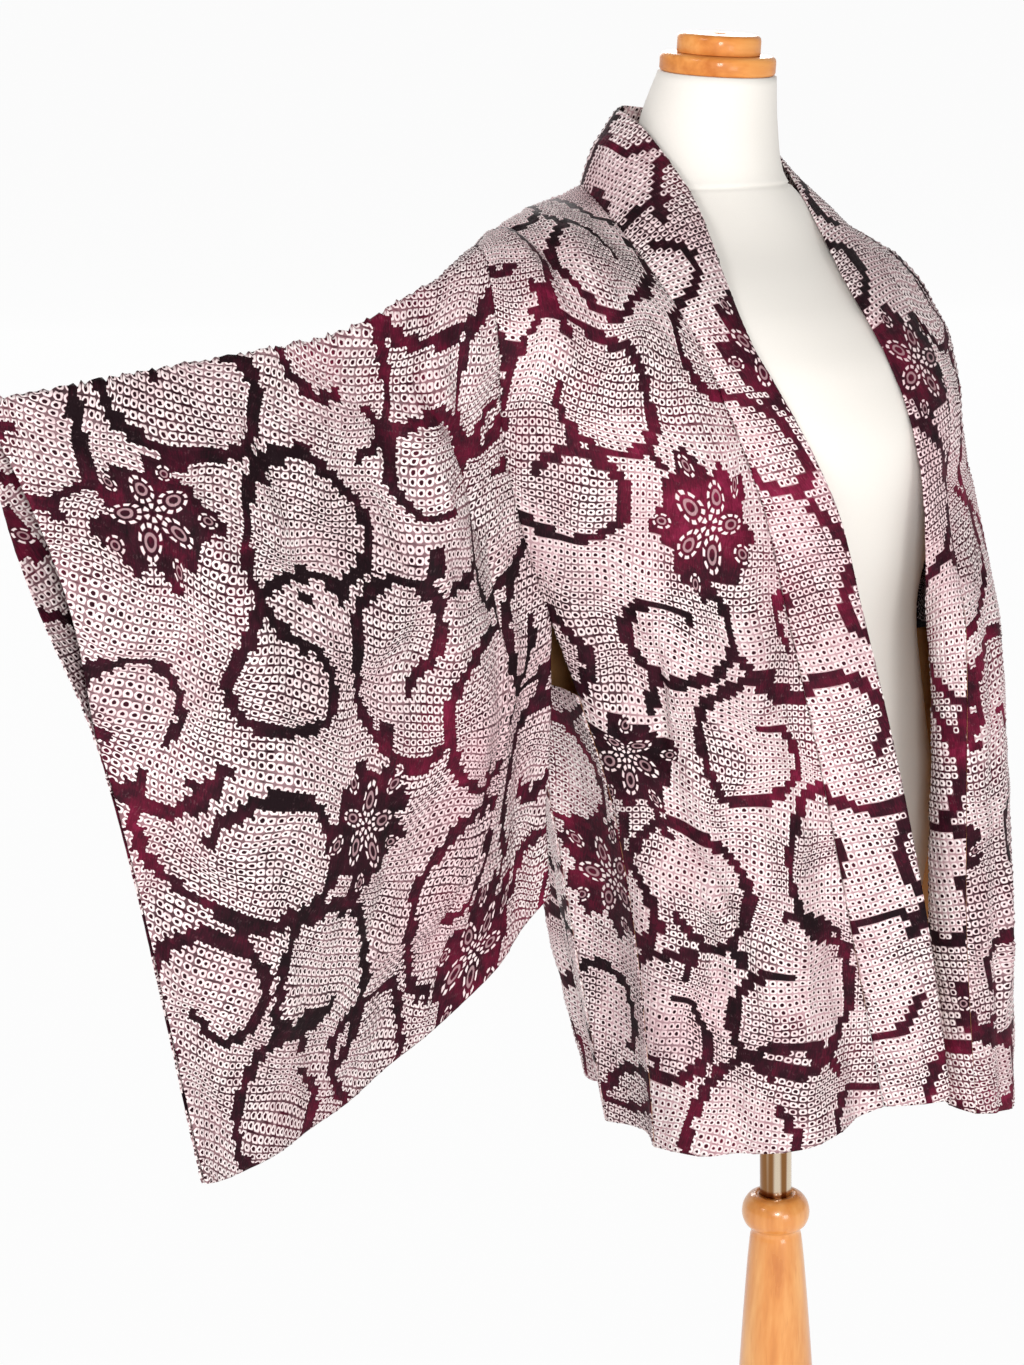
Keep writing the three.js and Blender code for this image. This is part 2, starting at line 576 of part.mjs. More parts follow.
// ---- the form and its stand ----
function formGeometry() {
  const sides = 32;
  const heights = [];
  FORM_RINGS.forEach((ring, i) => {
    heights.push(ring.z);
    const next = FORM_RINGS[i + 1];
    if (next && next.z - ring.z > 30) heights.push((ring.z + next.z) / 2);
  });
  const positions = [];
  const index = [];
  heights.forEach((z) => {
    const ring = formRing(z);
    const lean = NECK_TILT * smooth((z - NECK_SEAM_Z) / (NECK_TOP_Z - NECK_SEAM_Z));
    for (let j = 0; j < sides; j += 1) {
      const angle = (2 * Math.PI * j) / sides;
      const y = ring.depth * Math.sin(angle);
      positions.push(ring.half * Math.cos(angle), ring.y + y, z + y * lean);
    }
  });
  const top = heights.length - 1;
  const low = formRing(TORSO_BOTTOM_Z);
  const high = formRing(NECK_TOP_Z);
  positions.push(0, low.y, TORSO_BOTTOM_Z, 0, high.y, NECK_TOP_Z);
  const centreLow = heights.length * sides;
  for (let j = 0; j < sides; j += 1) {
    const k = (j + 1) % sides;
    index.push(centreLow, k, j, centreLow + 1, top * sides + j, top * sides + k);
    for (let i = 0; i < top; i += 1) {
      const [a, b] = [i * sides + j, i * sides + k];
      index.push(a, b, b + sides, a, b + sides, a + sides);
    }
  }
  const geometry = new THREE.BufferGeometry();
  geometry.setAttribute("position", new THREE.Float32BufferAttribute(positions, 3));
  geometry.setIndex(index);
  return geometry;
}

// LatheGeometry turns about its Y axis, so the solid is stood up on Z.
function turned(profile, sides) {
  const points = profile.map(({ r, z }) => new THREE.Vector2(r, z));
  return new THREE.LatheGeometry(points, sides).rotateX(Math.PI / 2);
}

const closedProfile = (rows) => [{ r: 0, z: rows[0].z }, ...rows, { r: 0, z: rows[rows.length - 1].z }];

function columnGeometry() {
  const socketR = POLE_R + SEAM_GAP;
  const top = COLUMN_PROFILE[COLUMN_PROFILE.length - 1].z;
  const socket = [
    { r: socketR, z: top },
    { r: socketR, z: SOCKET_FLOOR_Z },
    { r: 0, z: SOCKET_FLOOR_Z },
  ];
  return turned([{ r: 0, z: COLUMN_PROFILE[0].z }, ...COLUMN_PROFILE, ...socket], 36);
}

function baseGeometry() {
  const edge = [
    { r: BASE_R - 6, z: 0 },
    { r: BASE_R, z: 6 },
    { r: BASE_R, z: 14 },
    { r: BASE_R - 8, z: 23 },
    { r: 120, z: BASE_H - 2 },
    { r: 90, z: BASE_H },
  ];
  return turned(closedProfile(edge), 48);
}

// ---- the scene ----
const part = new THREE.Group();

function add(name, geometry, material, parent = part) {
  const mesh = new THREE.Mesh(geometry, new THREE.MeshStandardMaterial({ ...COLORS[material], name }));
  mesh.name = name;
  parent.add(mesh);
  return mesh;
}

function addCloth(name, cloth) {
  const keep = cloth.keep ?? ((p) => p);
  const geometry = wallGeometry(cloth.grid, cloth.normals, cloth.closed, keep);
  if (cloth.flip) {
    const index = geometry.getIndex();
    for (let i = 0; i < index.count; i += 3) {
      const b = index.getX(i + 1);
      index.setX(i + 1, index.getX(i + 2));
      index.setX(i + 2, b);
    }
  }
  add(name, geometry, "cloth");
}

const bodyRight = bodyPanel(RIGHT_SECTIONS, RIGHT_FOLDS, -1, 11);
const bodyLeft = bodyPanel(LEFT_SECTIONS, LEFT_FOLDS, 1, 12);
addCloth("body_right", bodyRight);
addCloth("body_left", bodyLeft);
addCloth("gusset_right", gusset(bodyRight));
addCloth("gusset_left", gusset(bodyLeft));
addCloth("sleeve_right", sleeve(bodyRight, SLEEVE_RIGHT_STATIONS, SLEEVE_RIGHT_FOLDS));
addCloth("sleeve_left", sleeve(bodyLeft, SLEEVE_LEFT_STATIONS, SLEEVE_LEFT_FOLDS));
addCloth("collar", collar(bodyRight, bodyLeft));

add("form_torso", formGeometry(), "jersey");
add("stand_base", baseGeometry(), "wood");
add("stand_column", columnGeometry(), "wood");
const poleLength = TORSO_BOTTOM_Z - SEAM_GAP - (SOCKET_FLOOR_Z + SEAM_GAP);
const pole = add("pole", new THREE.CylinderGeometry(POLE_R, POLE_R, poleLength, 28), "steel");
pole.rotation.x = Math.PI / 2;
pole.position.z = SOCKET_FLOOR_Z + SEAM_GAP + poleLength / 2;

const cap = new THREE.Group();
cap.position.set(0, formRing(NECK_TOP_Z).y, NECK_TOP_Z);
cap.rotation.x = Math.atan(NECK_TILT);
part.add(cap);
const lowerCap = add("cap_lower", turned(closedProfile(LOWER_CAP_PROFILE), 36), "wood", cap);
lowerCap.position.z = SEAM_GAP;
const upperCap = add("cap_upper", turned(closedProfile(UPPER_CAP_PROFILE), 36), "wood", cap);
upperCap.position.z = 2 * SEAM_GAP + LOWER_CAP_PROFILE[LOWER_CAP_PROFILE.length - 1].z;

export default part;
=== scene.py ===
"""Haori in tied-dot cloth on a limbless dress form with a turned wooden stand, around its fixed frame."""

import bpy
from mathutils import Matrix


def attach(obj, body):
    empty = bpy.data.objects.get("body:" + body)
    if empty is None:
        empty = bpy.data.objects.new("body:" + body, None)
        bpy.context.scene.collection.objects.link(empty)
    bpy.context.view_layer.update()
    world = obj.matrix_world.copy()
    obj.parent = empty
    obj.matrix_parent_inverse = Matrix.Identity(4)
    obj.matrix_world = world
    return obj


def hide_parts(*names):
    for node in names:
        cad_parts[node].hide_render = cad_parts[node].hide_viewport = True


bl_info = {
    "name": "Haori on a Dress Form",
    "version": (1, 0, 0),
    "blender": (4, 5, 0),
    "location": "View3D > Sidebar > Haori",
    "description": "Dresses the haori, its dress form and its stand, piece by piece",
    "category": "Object",
}

import math

import bmesh
import bpy
import numpy as np
from mathutils import Matrix, Vector

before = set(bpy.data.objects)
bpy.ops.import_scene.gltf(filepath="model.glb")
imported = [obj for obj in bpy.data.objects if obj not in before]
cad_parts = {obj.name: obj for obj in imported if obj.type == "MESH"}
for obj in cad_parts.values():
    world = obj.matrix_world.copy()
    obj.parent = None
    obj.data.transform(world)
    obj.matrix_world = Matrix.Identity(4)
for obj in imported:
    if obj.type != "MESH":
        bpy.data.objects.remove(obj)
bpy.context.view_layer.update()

MM = 0.001

# ---- sizes in millimetres and counts, most of them shared with the solids ----
SEAM_GAP = 0.3
REST_GAP = 0.8
SEAM_X = -20
STEPS_PER_ROW = 2
PANEL_COLUMNS = 12
SLEEVE_STATIONS = 12
ARMHOLE_FRONT_ROW = 3
ARMHOLE_BACK_ROW = 14
FREE_EDGE_STEPS = 6
CUFF_OPENING = 0.43
LAYER_GAP = 1
GUSSET_COLUMNS = 5
GUSSET_FOLD = {"hem": -12, "top": -4}
HEM_ROLL = 4
NECK_TILT = 0.1
NECK_TOP_Z = 1479
NECK_SEAM_Z = 1398
COVER_SEAM_DROP = 7
COVER_SEAM_DEPTH = 2.2
TORSO_BOTTOM_Z = 780
POLE_R = 13.5
POLE_ROUND = 0.6
SOCKET_FLOOR_Z = 430
BASE_H = 30
CAP_H = 15
COLUMN_Z = BASE_H + SEAM_GAP

# ---- sizes of the scene alone, in millimetres ----
CLOTH_THICKNESS = 1.0
CLOTH_LIFT = 0.9  # of the outer face, from the coarse grids
KNOT_PEAK = 1.1
VINE_PEAK = 0.5
CRINKLE = 1.2
CRINKLE_SCALE = 70
WARP_SCALES = (160, 130)  # across and along
WIDE_WARP = 9.0  # how far the rows of knots wander
EDGE_FADE = 25  # warp, creases and crinkle reach their full depth this far in from the edges
FORM_GAP = 1.4  # from the form to the outer face of the body panels
VINE_HALF = 5.1
TIP_THINNER = 1.1
STEM_HALF = 4.8
VINE_MARGIN = 8  # more than half the thickness of any vine

# ---- counts and shares of the scene alone ----
FINE_STEPS = 5  # places between two points of a coarse grid
LATTICE_START = 500  # keeps the knots' places above zero
ROW_SHARE = 0.84  # distance between rows of curls, as a share of the spacing
STRAY = 0.36  # range of a curl's centre, as a share of the spacing
DOT_RADIUS = 0.225  # as a share of the pitch
PETALS = 5.0
CREASE_BOW = 0.06  # sideways, as a share of the crease's length
CREASE_PAST = 0.05  # how far a crease runs past its ends, as a share of its length
FORM_SIDES = 96
POLE_SIDES = 64
FINE_BUMP = 0.0003  # metres

# Rings of the form: z, half width, y of its front and of its back.
FORM_RINGS = [
    (780, 146, -84, 106), (800, 158, -96, 120), (880, 165, -106, 128), (960, 148, -102, 108),
    (1050, 130, -98, 82), (1120, 142, -113, 86), (1200, 160, -130, 104), (1255, 166, -114, 116),
    (1295, 172, -82, 120), (1322, 166, -52, 118), (1346, 130, -24, 122), (1372, 88, -4, 128),
    (1398, 62, 12, 134), (1440, 56, 17, 128), (1479, 47.5, 15, 110),
]

# Body panels, a row for each section: its points inner, a, b and outer.
RIGHT_SECTIONS = [
    ((-35, -146, 670), (-76, -130, 654), (-140, -98, 643), (-170, -22, 640)),
    ((-66, -139, 815), (-104, -124, 806), (-156, -84, 800), (-182, -18, 798)),
    ((-88, -124, 955), (-128, -110, 950), (-178, -68, 948), (-208, -12, 945)),
    ((-108, -106, 1080), (-152, -94, 1078), (-208, -52, 1080), (-258, -2, 1084)),
    ((-121, -94, 1160), (-166, -86, 1160), (-226, -50, 1160), (-284, 2, 1160)),
    ((-140, -75, 1234), (-184, -68, 1233), (-242, -40, 1230), (-296, 6, 1228)),
    ((-152, -54, 1288), (-196, -50, 1292), (-250, -32, 1290), (-303, 0, 1288)),
    ((-155, -20, 1328), (-200, -15, 1338), (-252, -8, 1336), (-301, 8, 1330)),
    ((-145, 26, 1361), (-190, 33, 1370), (-245, 31, 1366), (-294, 24, 1357)),
    ((-109, 98, 1387), (-172, 88, 1383), (-240, 66, 1371), (-292, 42, 1354)),
    ((-75, 142, 1392), (-150, 126, 1370), (-225, 90, 1350), (-290, 56, 1326)),
    ((-20, 161, 1380), (-116, 150, 1342), (-210, 108, 1308), (-287, 66, 1278)),
    ((-20, 161, 1290), (-110, 154, 1262), (-200, 118, 1232), (-281, 70, 1210)),
    ((-20, 157, 1200), (-104, 156, 1180), (-186, 124, 1158), (-272, 72, 1144)),
    ((-20, 155, 1110), (-98, 156, 1098), (-172, 128, 1088), (-254, 66, 1084)),
    ((-20, 156, 975), (-92, 158, 960), (-156, 126, 950), (-206, 62, 945)),
    ((-20, 164, 820), (-84, 160, 810), (-140, 122, 802), (-180, 56, 798)),
    ((-20, 172, 650), (-66, 150, 646), (-106, 98, 642), (-156, 46, 640)),
]
LEFT_SECTIONS = [
    ((28, -190, 658), (74, -190, 648), (140, -128, 640), (204, -12, 640)),
    ((16, -187, 812), (62, -190, 808), (142, -128, 804), (210, -12, 802)),
    ((18, -183, 960), (64, -182, 960), (144, -114, 958), (214, -4, 954)),
    ((36, -166, 1056), (80, -160, 1056), (150, -100, 1052), (220, 4, 1046)),
    ((60, -133, 1112), (102, -121, 1112), (162, -80, 1110), (228, 6, 1104)),
    ((70, -118, 1166), (112, -102, 1166), (166, -60, 1164), (231, 8, 1160)),
    ((72, -108, 1224), (117, -91, 1224), (170, -44, 1220), (231, 14, 1214)),
    ((76, -86, 1278), (121, -74, 1274), (172, -33, 1264), (227, 22, 1248)),
    ((86, -42, 1320), (129, -32, 1310), (178, -8, 1294), (226, 32, 1266)),
    ((108, 30, 1360), (141, 36, 1345), (182, 40, 1320), (225, 46, 1276)),
    ((104, 92, 1371), (142, 84, 1349), (183, 72, 1318), (226, 60, 1271)),
    ((60, 140, 1384), (121, 120, 1346), (178, 98, 1303), (225, 72, 1246)),
    ((-20, 161, 1380), (76, 152, 1336), (160, 120, 1278), (222, 78, 1210)),
    ((-20, 161, 1290), (70, 156, 1244), (150, 130, 1180), (218, 82, 1120)),
    ((-20, 155, 1170), (66, 158, 1130), (146, 136, 1076), (213, 80, 1034)),
    ((-20, 156, 1020), (62, 160, 990), (140, 140, 960), (207, 76, 934)),
    ((-20, 164, 840), (62, 172, 824), (142, 150, 806), (206, 70, 794)),
    ((-20, 172, 656), (62, 186, 652), (142, 154, 644), (202, 62, 640)),
]

# Folds: share across where each starts and ends, half width, depth outward, first and last row.
RIGHT_FOLDS = [
    (0.16, 0.1, 0.13, -9, -2, 3.5), (0.4, 0.5, 0.16, 8, -2, 4), (0.66, 0.8, 0.15, -11, -2, 4.6),
    (0.86, 0.98, 0.14, 9, -1, 4.4), (0.62, 0.55, 0.16, -6, 5.2, 9.4), (0.3, 0.24, 0.14, -7, 12.4, 19),
    (0.52, 0.5, 0.15, 12, 12.8, 19), (0.76, 0.7, 0.15, -12, 12, 19),
]
LEFT_FOLDS = [
    (0.28, 0.24, 0.13, -8, -2, 4.2), (0.74, 0.82, 0.16, -11, -2, 5.4), (0.5, 0.62, 0.14, -5, 5, 9),
    (0.26, 0.22, 0.14, -8, 12.4, 19), (0.5, 0.46, 0.16, 13, 12.8, 19), (0.76, 0.7, 0.15, -12, 12, 19),
]

# The collar's free edge and its roll, a row for each row of the body tables.
COLLAR_RIGHT = [
    ((9, -179, 672), 3), ((-16, -175, 818), 3), ((-38, -160, 955), 3), ((-57, -138, 1080), 3),
    ((-72, -126, 1156), 3), ((-98, -104, 1228), 3), ((-110, -74, 1280), 4), ((-96, -30, 1334), 5),
    ((-70, 24, 1386), 6), ((-63, 84, 1438), 5), ((-48, 126, 1452), 5),
]
COLLAR_LEFT = [
    ((48, -142, 668), 14), ((34, -138, 816), 14), ((38, -136, 960), 13), ((30, -132, 1056), 9),
    ((20, -138, 1112), 5), ((13, -140, 1166), 3), ((6, -130, 1224), 3), ((2, -104, 1276), 3),
    ((6, -66, 1320), 4), ((44, 6, 1374), 6), ((76, 84, 1426), 6), ((46, 132, 1444), 6),
]
COLLAR_BACK_FREE = (-14, 149, 1454)
COLLAR_BACK_ROLL = 6

# Sleeve stations from the body to the cuff: fold along the top, middle, sewn bottom edge.
SLEEVE_RIGHT_STATIONS = [
    ((-294, 27, 1358), (-284, 16, 1110), (-262, -2, 866)),
    ((-330, 27, 1340), (-326, 12, 1080), (-312, 4, 826)),
    ((-369, 29, 1327), (-372, 8, 1050), (-372, 8, 788)),
    ((-427, 29, 1309), (-424, 6, 1034), (-444, 8, 757)),
    ((-500, 28, 1302), (-490, 0, 1026), (-516, 2, 741)),
    ((-633, 30, 1294), (-592, -4, 1024), (-588, -18, 738)),
    ((-721, 37, 1286), (-661, 2, 1032), (-622, -30, 745)),
]
SLEEVE_LEFT_STATIONS = [
    ((246, 52, 1266), (250, 56, 1010), (244, 62, 748)),
    ((288, 118, 1226), (290, 120, 966), (278, 118, 704)),
    ((312, 194, 1168), (312, 194, 906), (300, 188, 644)),
    ((322, 272, 1096), (320, 270, 834), (310, 260, 574)),
    ((326, 348, 1016), (324, 344, 756), (314, 332, 502)),
]
# Half the space between the layers, by share of the width: upper part and bottom.
SLEEVE_FILL = [(0, 30, 12), (0.2, 28, 12), (0.5, 26, 11), (0.8, 24, 9), (1, 22, 1)]
# Folds down a sleeve: share across at the top and at the bottom, half width, depth outward.
SLEEVE_RIGHT_FOLDS = [
    (0.2, 0.05, 0.07, 9), (0.36, 0.22, 0.08, -8), (0.5, 0.44, 0.1, 5), (0.78, 0.72, 0.12, -5),
]
SLEEVE_LEFT_FOLDS = [(0.12, 0.2, 0.1, 8), (0.34, 0.45, 0.1, -9), (0.62, 0.7, 0.12, 7)]

# Creases on the flat cloth: from x, y to x, y, half width and depth outward, in millimetres.
SLEEVE_RIGHT_CREASES = [
    (96, 505, 52, 330, 10, -7), (128, 512, 104, 380, 7, 4), (160, 500, 128, 270, 11, 5.5),
    (38, 350, 92, 150, 8, -8), (64, 300, 128, 120, 7, 4.5), (70, 210, 170, 60, 10, -6),
    (236, 512, 262, 350, 14, -4.5), (330, 495, 306, 270, 15, 5), (210, 260, 250, 90, 12, -5),
    (356, 250, 330, 60, 13, 4), (20, 520, 20, 380, 6, -3.5),
    (100, 560, 60, 760, 10, -6.5), (180, 570, 150, 820, 12, 6), (52, 740, 110, 960, 9, -7),
    (260, 560, 290, 760, 14, -5.5), (340, 590, 320, 850, 15, 4.5), (220, 840, 260, 1010, 11, -5.5),
]
SLEEVE_LEFT_CREASES = [
    (60, 500, 30, 300, 10, -6), (130, 520, 150, 280, 12, 6), (200, 500, 180, 240, 11, -6),
    (270, 505, 300, 330, 14, 5), (90, 300, 140, 90, 10, -6), (240, 240, 210, 60, 11, -5),
    (70, 560, 40, 760, 10, -6.5), (150, 560, 170, 800, 13, 5.5), (230, 570, 200, 830, 11, -6),
    (110, 800, 160, 1000, 10, -5.5),
]
BODY_RIGHT_CREASES = [
    (112, 80, 78, 250, 9, -6), (66, 40, 60, 190, 8, 4.5), (40, 300, 90, 430, 8, -6),
    (20, 380, 66, 300, 6, -5.5), (110, 330, 130, 480, 9, 4.5), (70, 520, 120, 610, 10, -4.5),
    (20, 600, 96, 660, 8, -4), (150, 90, 156, 260, 7, 4), (90, 700, 60, 830, 10, -4),
    (120, 860, 70, 1010, 12, -6), (60, 960, 110, 1150, 10, 5), (150, 1040, 120, 1260, 11, -5.5),
    (50, 1180, 76, 1400, 12, 5.5), (30, 900, 24, 1060, 8, -5),
]
BODY_LEFT_CREASES = [
    (30, 60, 42, 240, 8, 5), (92, 50, 80, 210, 10, -6), (150, 120, 130, 330, 9, 4.5),
    (60, 300, 120, 440, 9, -6), (170, 400, 110, 300, 7, -5), (60, 560, 130, 620, 10, -4),
    (70, 720, 110, 840, 10, -4), (110, 880, 70, 1060, 11, -6), (60, 1000, 120, 1180, 10, 5),
    (160, 1060, 130, 1280, 11, -5.5), (50, 1200, 80, 1410, 12, 5.5),
]

# Turned profiles: radius and height.
COLUMN_FOOT = [(62, COLUMN_Z), (62, 38), (61, 40), (55, 46), (52, 52)]
COLUMN_SHAFT = [(52, 52), (46, 90), (41, 200), (36, 310), (30.5, 400), (25, 475), (22, 506)]
COLUMN_BULB = [(22, 506), (21, 513), (26, 518), (28.7, 526), (27.6, 535), (23, 542), (18, 544)]
BASE_EDGE = [
    (0, 0), (192, 0), (196, 1.5), (199, 4), (200, 7), (200, 13), (198.5, 17), (195, 21), (190, 23.6),
]
BASE_TOP = [(190, 23.6), (150, 26.6), (120, 28), (90, BASE_H)]
LOWER_CAP = [
    (0, 0), (43.5, 0), (45.6, 0.8), (46.5, 2.6), (46.5, 11), (46, 13), (44.5, 14.6),
    (42.5, CAP_H), (0, CAP_H),
]
UPPER_CAP = [
    (0, 0), (33.2, 0), (33.5, 0.6), (33.5, 11), (33, 13.4), (31.4, 15), (29, 15.5),
    (5.5, 15.5), (5, 15.2), (4.6, 13.6), (0, 13.6),
]

# Lamps: name, place and aim in metres, size in metres and power in watts.
LAMPS = [
    ("key", (-2.8, 0.2, 3.0), (-0.1, 0, 1.0), 0.9, 34),
    ("front", (-1.5, -2.3, 1.7), (0, 0, 1.0), 1.2, 6),
    ("lens", (-1.65, -1.75, 1.5), (0, 0, 1.0), 0.4, 28),
    ("fill", (-0.7, -2.6, 0.8), (0.05, -0.1, 0.9), 0.8, 15),
    ("rim", (1.8, 2.2, 2.4), (0, 0, 1.1), 1.4, 48),
]
CAMERA_PLACE = (-1.727, -1.535, 1.5)


# ---- curves ----
def smooth(t):
    """From 0 to 1 with a soft start and end."""
    s = np.clip(t, 0, 1)
    return s * s * (3 - 2 * s)


def through(values, at):
    """Catmull-Rom value through rows of numbers, at fractional indices."""
    values = np.asarray(values, float)
    at = np.asarray(at, float)
    last = len(values) - 1
    i = np.clip(np.floor(at).astype(int), 0, last - 1)
    t = at - i
    if values.ndim > 1:
        t = t[..., None]
        inner = (i > 0)[..., None], (i + 2 <= last)[..., None]
    else:
        inner = i > 0, i + 2 <= last
    p1, p2 = values[i], values[i + 1]
    p0 = np.where(inner[0], values[np.maximum(i - 1, 0)], 2 * p1 - p2)
    p3 = np.where(inner[1], values[np.minimum(i + 2, last)], 2 * p2 - p1)
    m1, m2 = (p2 - p0) / 2, (p3 - p1) / 2
    t2, t3 = t * t, t * t * t
    return p1 * (2 * t3 - 3 * t2 + 1) + m1 * (t3 - 2 * t2 + t) + p2 * (3 * t2 - 2 * t3) + m2 * (t3 - t2)


def unit(v):
    return v / np.maximum(np.linalg.norm(v, axis=-1, keepdims=True), 1e-9)


def hump(distance):
    """1 in the middle of a fold and 0 at its edge."""
    return 0.5 + 0.5 * math.cos(math.pi * distance)


# ---- the form as a surface ----
RING_Z = np.arange(TORSO_BOTTOM_Z, NECK_TOP_Z + 0.5, 1.0)
RING_AT = np.interp(RING_Z, [ring[0] for ring in FORM_RINGS], range(len(FORM_RINGS)))
RING_HALF, RING_FRONT, RING_BACK = (through([ring[k] for ring in FORM_RINGS], RING_AT) for k in (1, 2, 3))


def form_ring(z):
    """Half width, half depth and middle of the form's section at a height."""
    half, front, back = (np.interp(z, RING_Z, values) for values in (RING_HALF, RING_FRONT, RING_BACK))
    return half, (back - front) / 2, (back + front) / 2


def form_field(p):
    """Below 0 inside the form, 0 on its surface and above 0 outside."""
    half, depth, y = form_ring(p[..., 2])
    return np.hypot(p[..., 0] / half, (p[..., 1] - y) / depth) - 1


def way_out(p, gap=REST_GAP):
    """How far each point has to move to lie clear of the form."""
    value = form_field(p)
    step = 0.5
    slope = [(form_field(p + step * axis) - form_field(p - step * axis)) / (2 * step) for axis in np.eye(3)]
    slope = np.stack(slope, axis=-1)
    size = np.linalg.norm(slope, axis=-1)
    missing = gap - value / size
    near = (missing > 0.01) & (value < 0.1) & (p[..., 2] <= NECK_TOP_Z) & (p[..., 2] >= TORSO_BOTTOM_Z)
    return np.where(near[..., None], slope / size[..., None] * missing[..., None], 0)


def settle(grid, first_column=0):
    """Moves a grid out of the form, its edges and facets too."""
    for _ in range(5):
        grid[:, first_column:] += way_out(grid[:, first_column:])
    for _ in range(6):
        for i in range(len(grid) - 1):
            for j in range(grid.shape[1] - 1):
                corners = [(i, j), (i + 1, j), (i, j + 1), (i + 1, j + 1)]
                fixed = [k < 2 and j < first_column for k in range(4)]
                for a, b in ((0, 1), (0, 2), (1, 3), (2, 3), (0, 3), (1, 2)):
                    way = way_out((grid[corners[a]] + grid[corners[b]]) / 2)
                    if not way.any():
                        continue
                    for k in (a, b):
                        if not fixed[k]:
                            grid[corners[k]] += way
    return grid


# ---- cloth as coarse grids, the same as in the solids ----
def grid_normals(grid):
    left = np.concatenate([grid[:, :1], grid[:, :-1]], axis=1)
    right = np.concatenate([grid[:, 1:], grid[:, -1:]], axis=1)
    down = np.concatenate([grid[:1], grid[:-1]], axis=0)
    up = np.concatenate([grid[1:], grid[-1:]], axis=0)
    return unit(np.cross(right - left, up - down))


def fold_depth(folds, row, across):
    total = 0
    for start_share, end_share, half, depth, start, end in folds:
        t = (row - start) / (end - start)
        if not 0 < t < 1:
            continue
        distance = abs(across - (start_share + (end_share - start_share) * t)) / half
        if distance < 1:
            total += depth * smooth(t * 4) * smooth((1 - t) * 4) * hump(distance)
    return total


def body_panel(sections, folds, side, neck_row):
    """Front and back in one over the shoulder; side is -1 for the right panel and 1 for the left."""
    count = (len(sections) - 1) * STEPS_PER_ROW + 1
    rows = through(np.array(sections, float).reshape(len(sections), 12), np.arange(count) / STEPS_PER_ROW)
    shares = 3 * np.arange(PANEL_COLUMNS) / (PANEL_COLUMNS - 1)
    flat = np.array([through(row.reshape(4, 3), shares) for row in rows])
    if side < 0:
        flat = flat[:, ::-1]
    normals = grid_normals(flat)
    grid = flat.copy()
    for i in range(count):
        for j in range(PANEL_COLUMNS):
            across = (j if side > 0 else PANEL_COLUMNS - 1 - j) / (PANEL_COLUMNS - 1)
            fade = smooth(across * 6) * smooth((1 - across) * 6)
            grid[i, j] += normals[i, j] * fold_depth(folds, i / STEPS_PER_ROW, across) * fade
    grid = settle(grid)
    back = slice(neck_row * STEPS_PER_ROW, None)
    nearer = np.maximum if side > 0 else np.minimum
    grid[back, :, 0] = nearer(grid[back, :, 0], SEAM_X + side * SEAM_GAP / 2)
    return {"grid": grid, "normals": grid_normals(grid), "side": side, "neck_row": neck_row}


def panel_edge(panel, edge):
    """Points, normals and the way off the cloth, along a panel's inner or outer edge."""
    first = (edge == "inner") == (panel["side"] > 0)
    column, sign = (0, -1) if first else (PANEL_COLUMNS - 1, 1)
    points, normals = panel["grid"][:, column], panel["normals"][:, column]
    along = np.concatenate([points[1:], points[-1:]]) - np.concatenate([points[:1], points[:-1]])
    return {"point": points.copy(), "normal": normals.copy(), "off": unit(np.cross(along, normals)) * sign}


def gusset(panel):
    """The side piece between a panel's front and back edges, from the hem to the armhole."""
    edge = panel_edge(panel, "outer")
    top = ARMHOLE_FRONT_ROW * STEPS_PER_ROW
    shares = np.linspace(0, 1, GUSSET_COLUMNS)
    grid = []
    for i in range(top):
        back = len(edge["point"]) - 1 - i
        start = edge["point"][i] + edge["off"][i] * SEAM_GAP
        end = edge["point"][back] + edge["off"][back] * SEAM_GAP
        out = unit(edge["normal"][i] + edge["normal"][back])
        sink = GUSSET_FOLD["hem"] + (GUSSET_FOLD["top"] - GUSSET_FOLD["hem"]) * i / top
        row = [start + (end - start) * t + out * sink * math.sin(math.pi * t) for t in shares]
        grid.append(row if panel["side"] > 0 else row[::-1])
    return np.array(grid)


def collar(right, left):
    """The collar band, from the right hem round the neck to the left hem."""
    rows = []
    for panel, table in ((right, COLLAR_RIGHT), (left, COLLAR_LEFT)):
        edge = panel_edge(panel, "inner")
        at = np.arange(panel["neck_row"] * STEPS_PER_ROW + 1) / STEPS_PER_ROW
        free = through([row[0] for row in table] + [COLLAR_BACK_FREE], at)
        roll = through([row[1] for row in table] + [COLLAR_BACK_ROLL], at)
        rows.append([(edge["point"][i], edge["off"][i], free[i], roll[i]) for i in range(len(at))])
    point, _, free, roll = rows[0].pop()
    rows[1].pop()
    middle = (np.array([SEAM_X, point[1], point[2]]), np.array([0, 0, 1.0]), free, roll)
    band = rows[0] + [middle] + rows[1][::-1]
    starts = np.array([point + off * SEAM_GAP for point, off, _, _ in band])
    grid = []
    for i, (_, _, free, roll) in enumerate(band):
        along = starts[min(len(band) - 1, i + 1)] - starts[max(0, i - 1)]
        out = unit(np.cross(free - starts[i], along))
        grid.append([starts[i] + (free - starts[i]) * t + out * roll * math.sin(math.pi * t)
                     for t in (0, 1 / 3, 2 / 3, 1)])
    return settle(np.array(grid), 1)


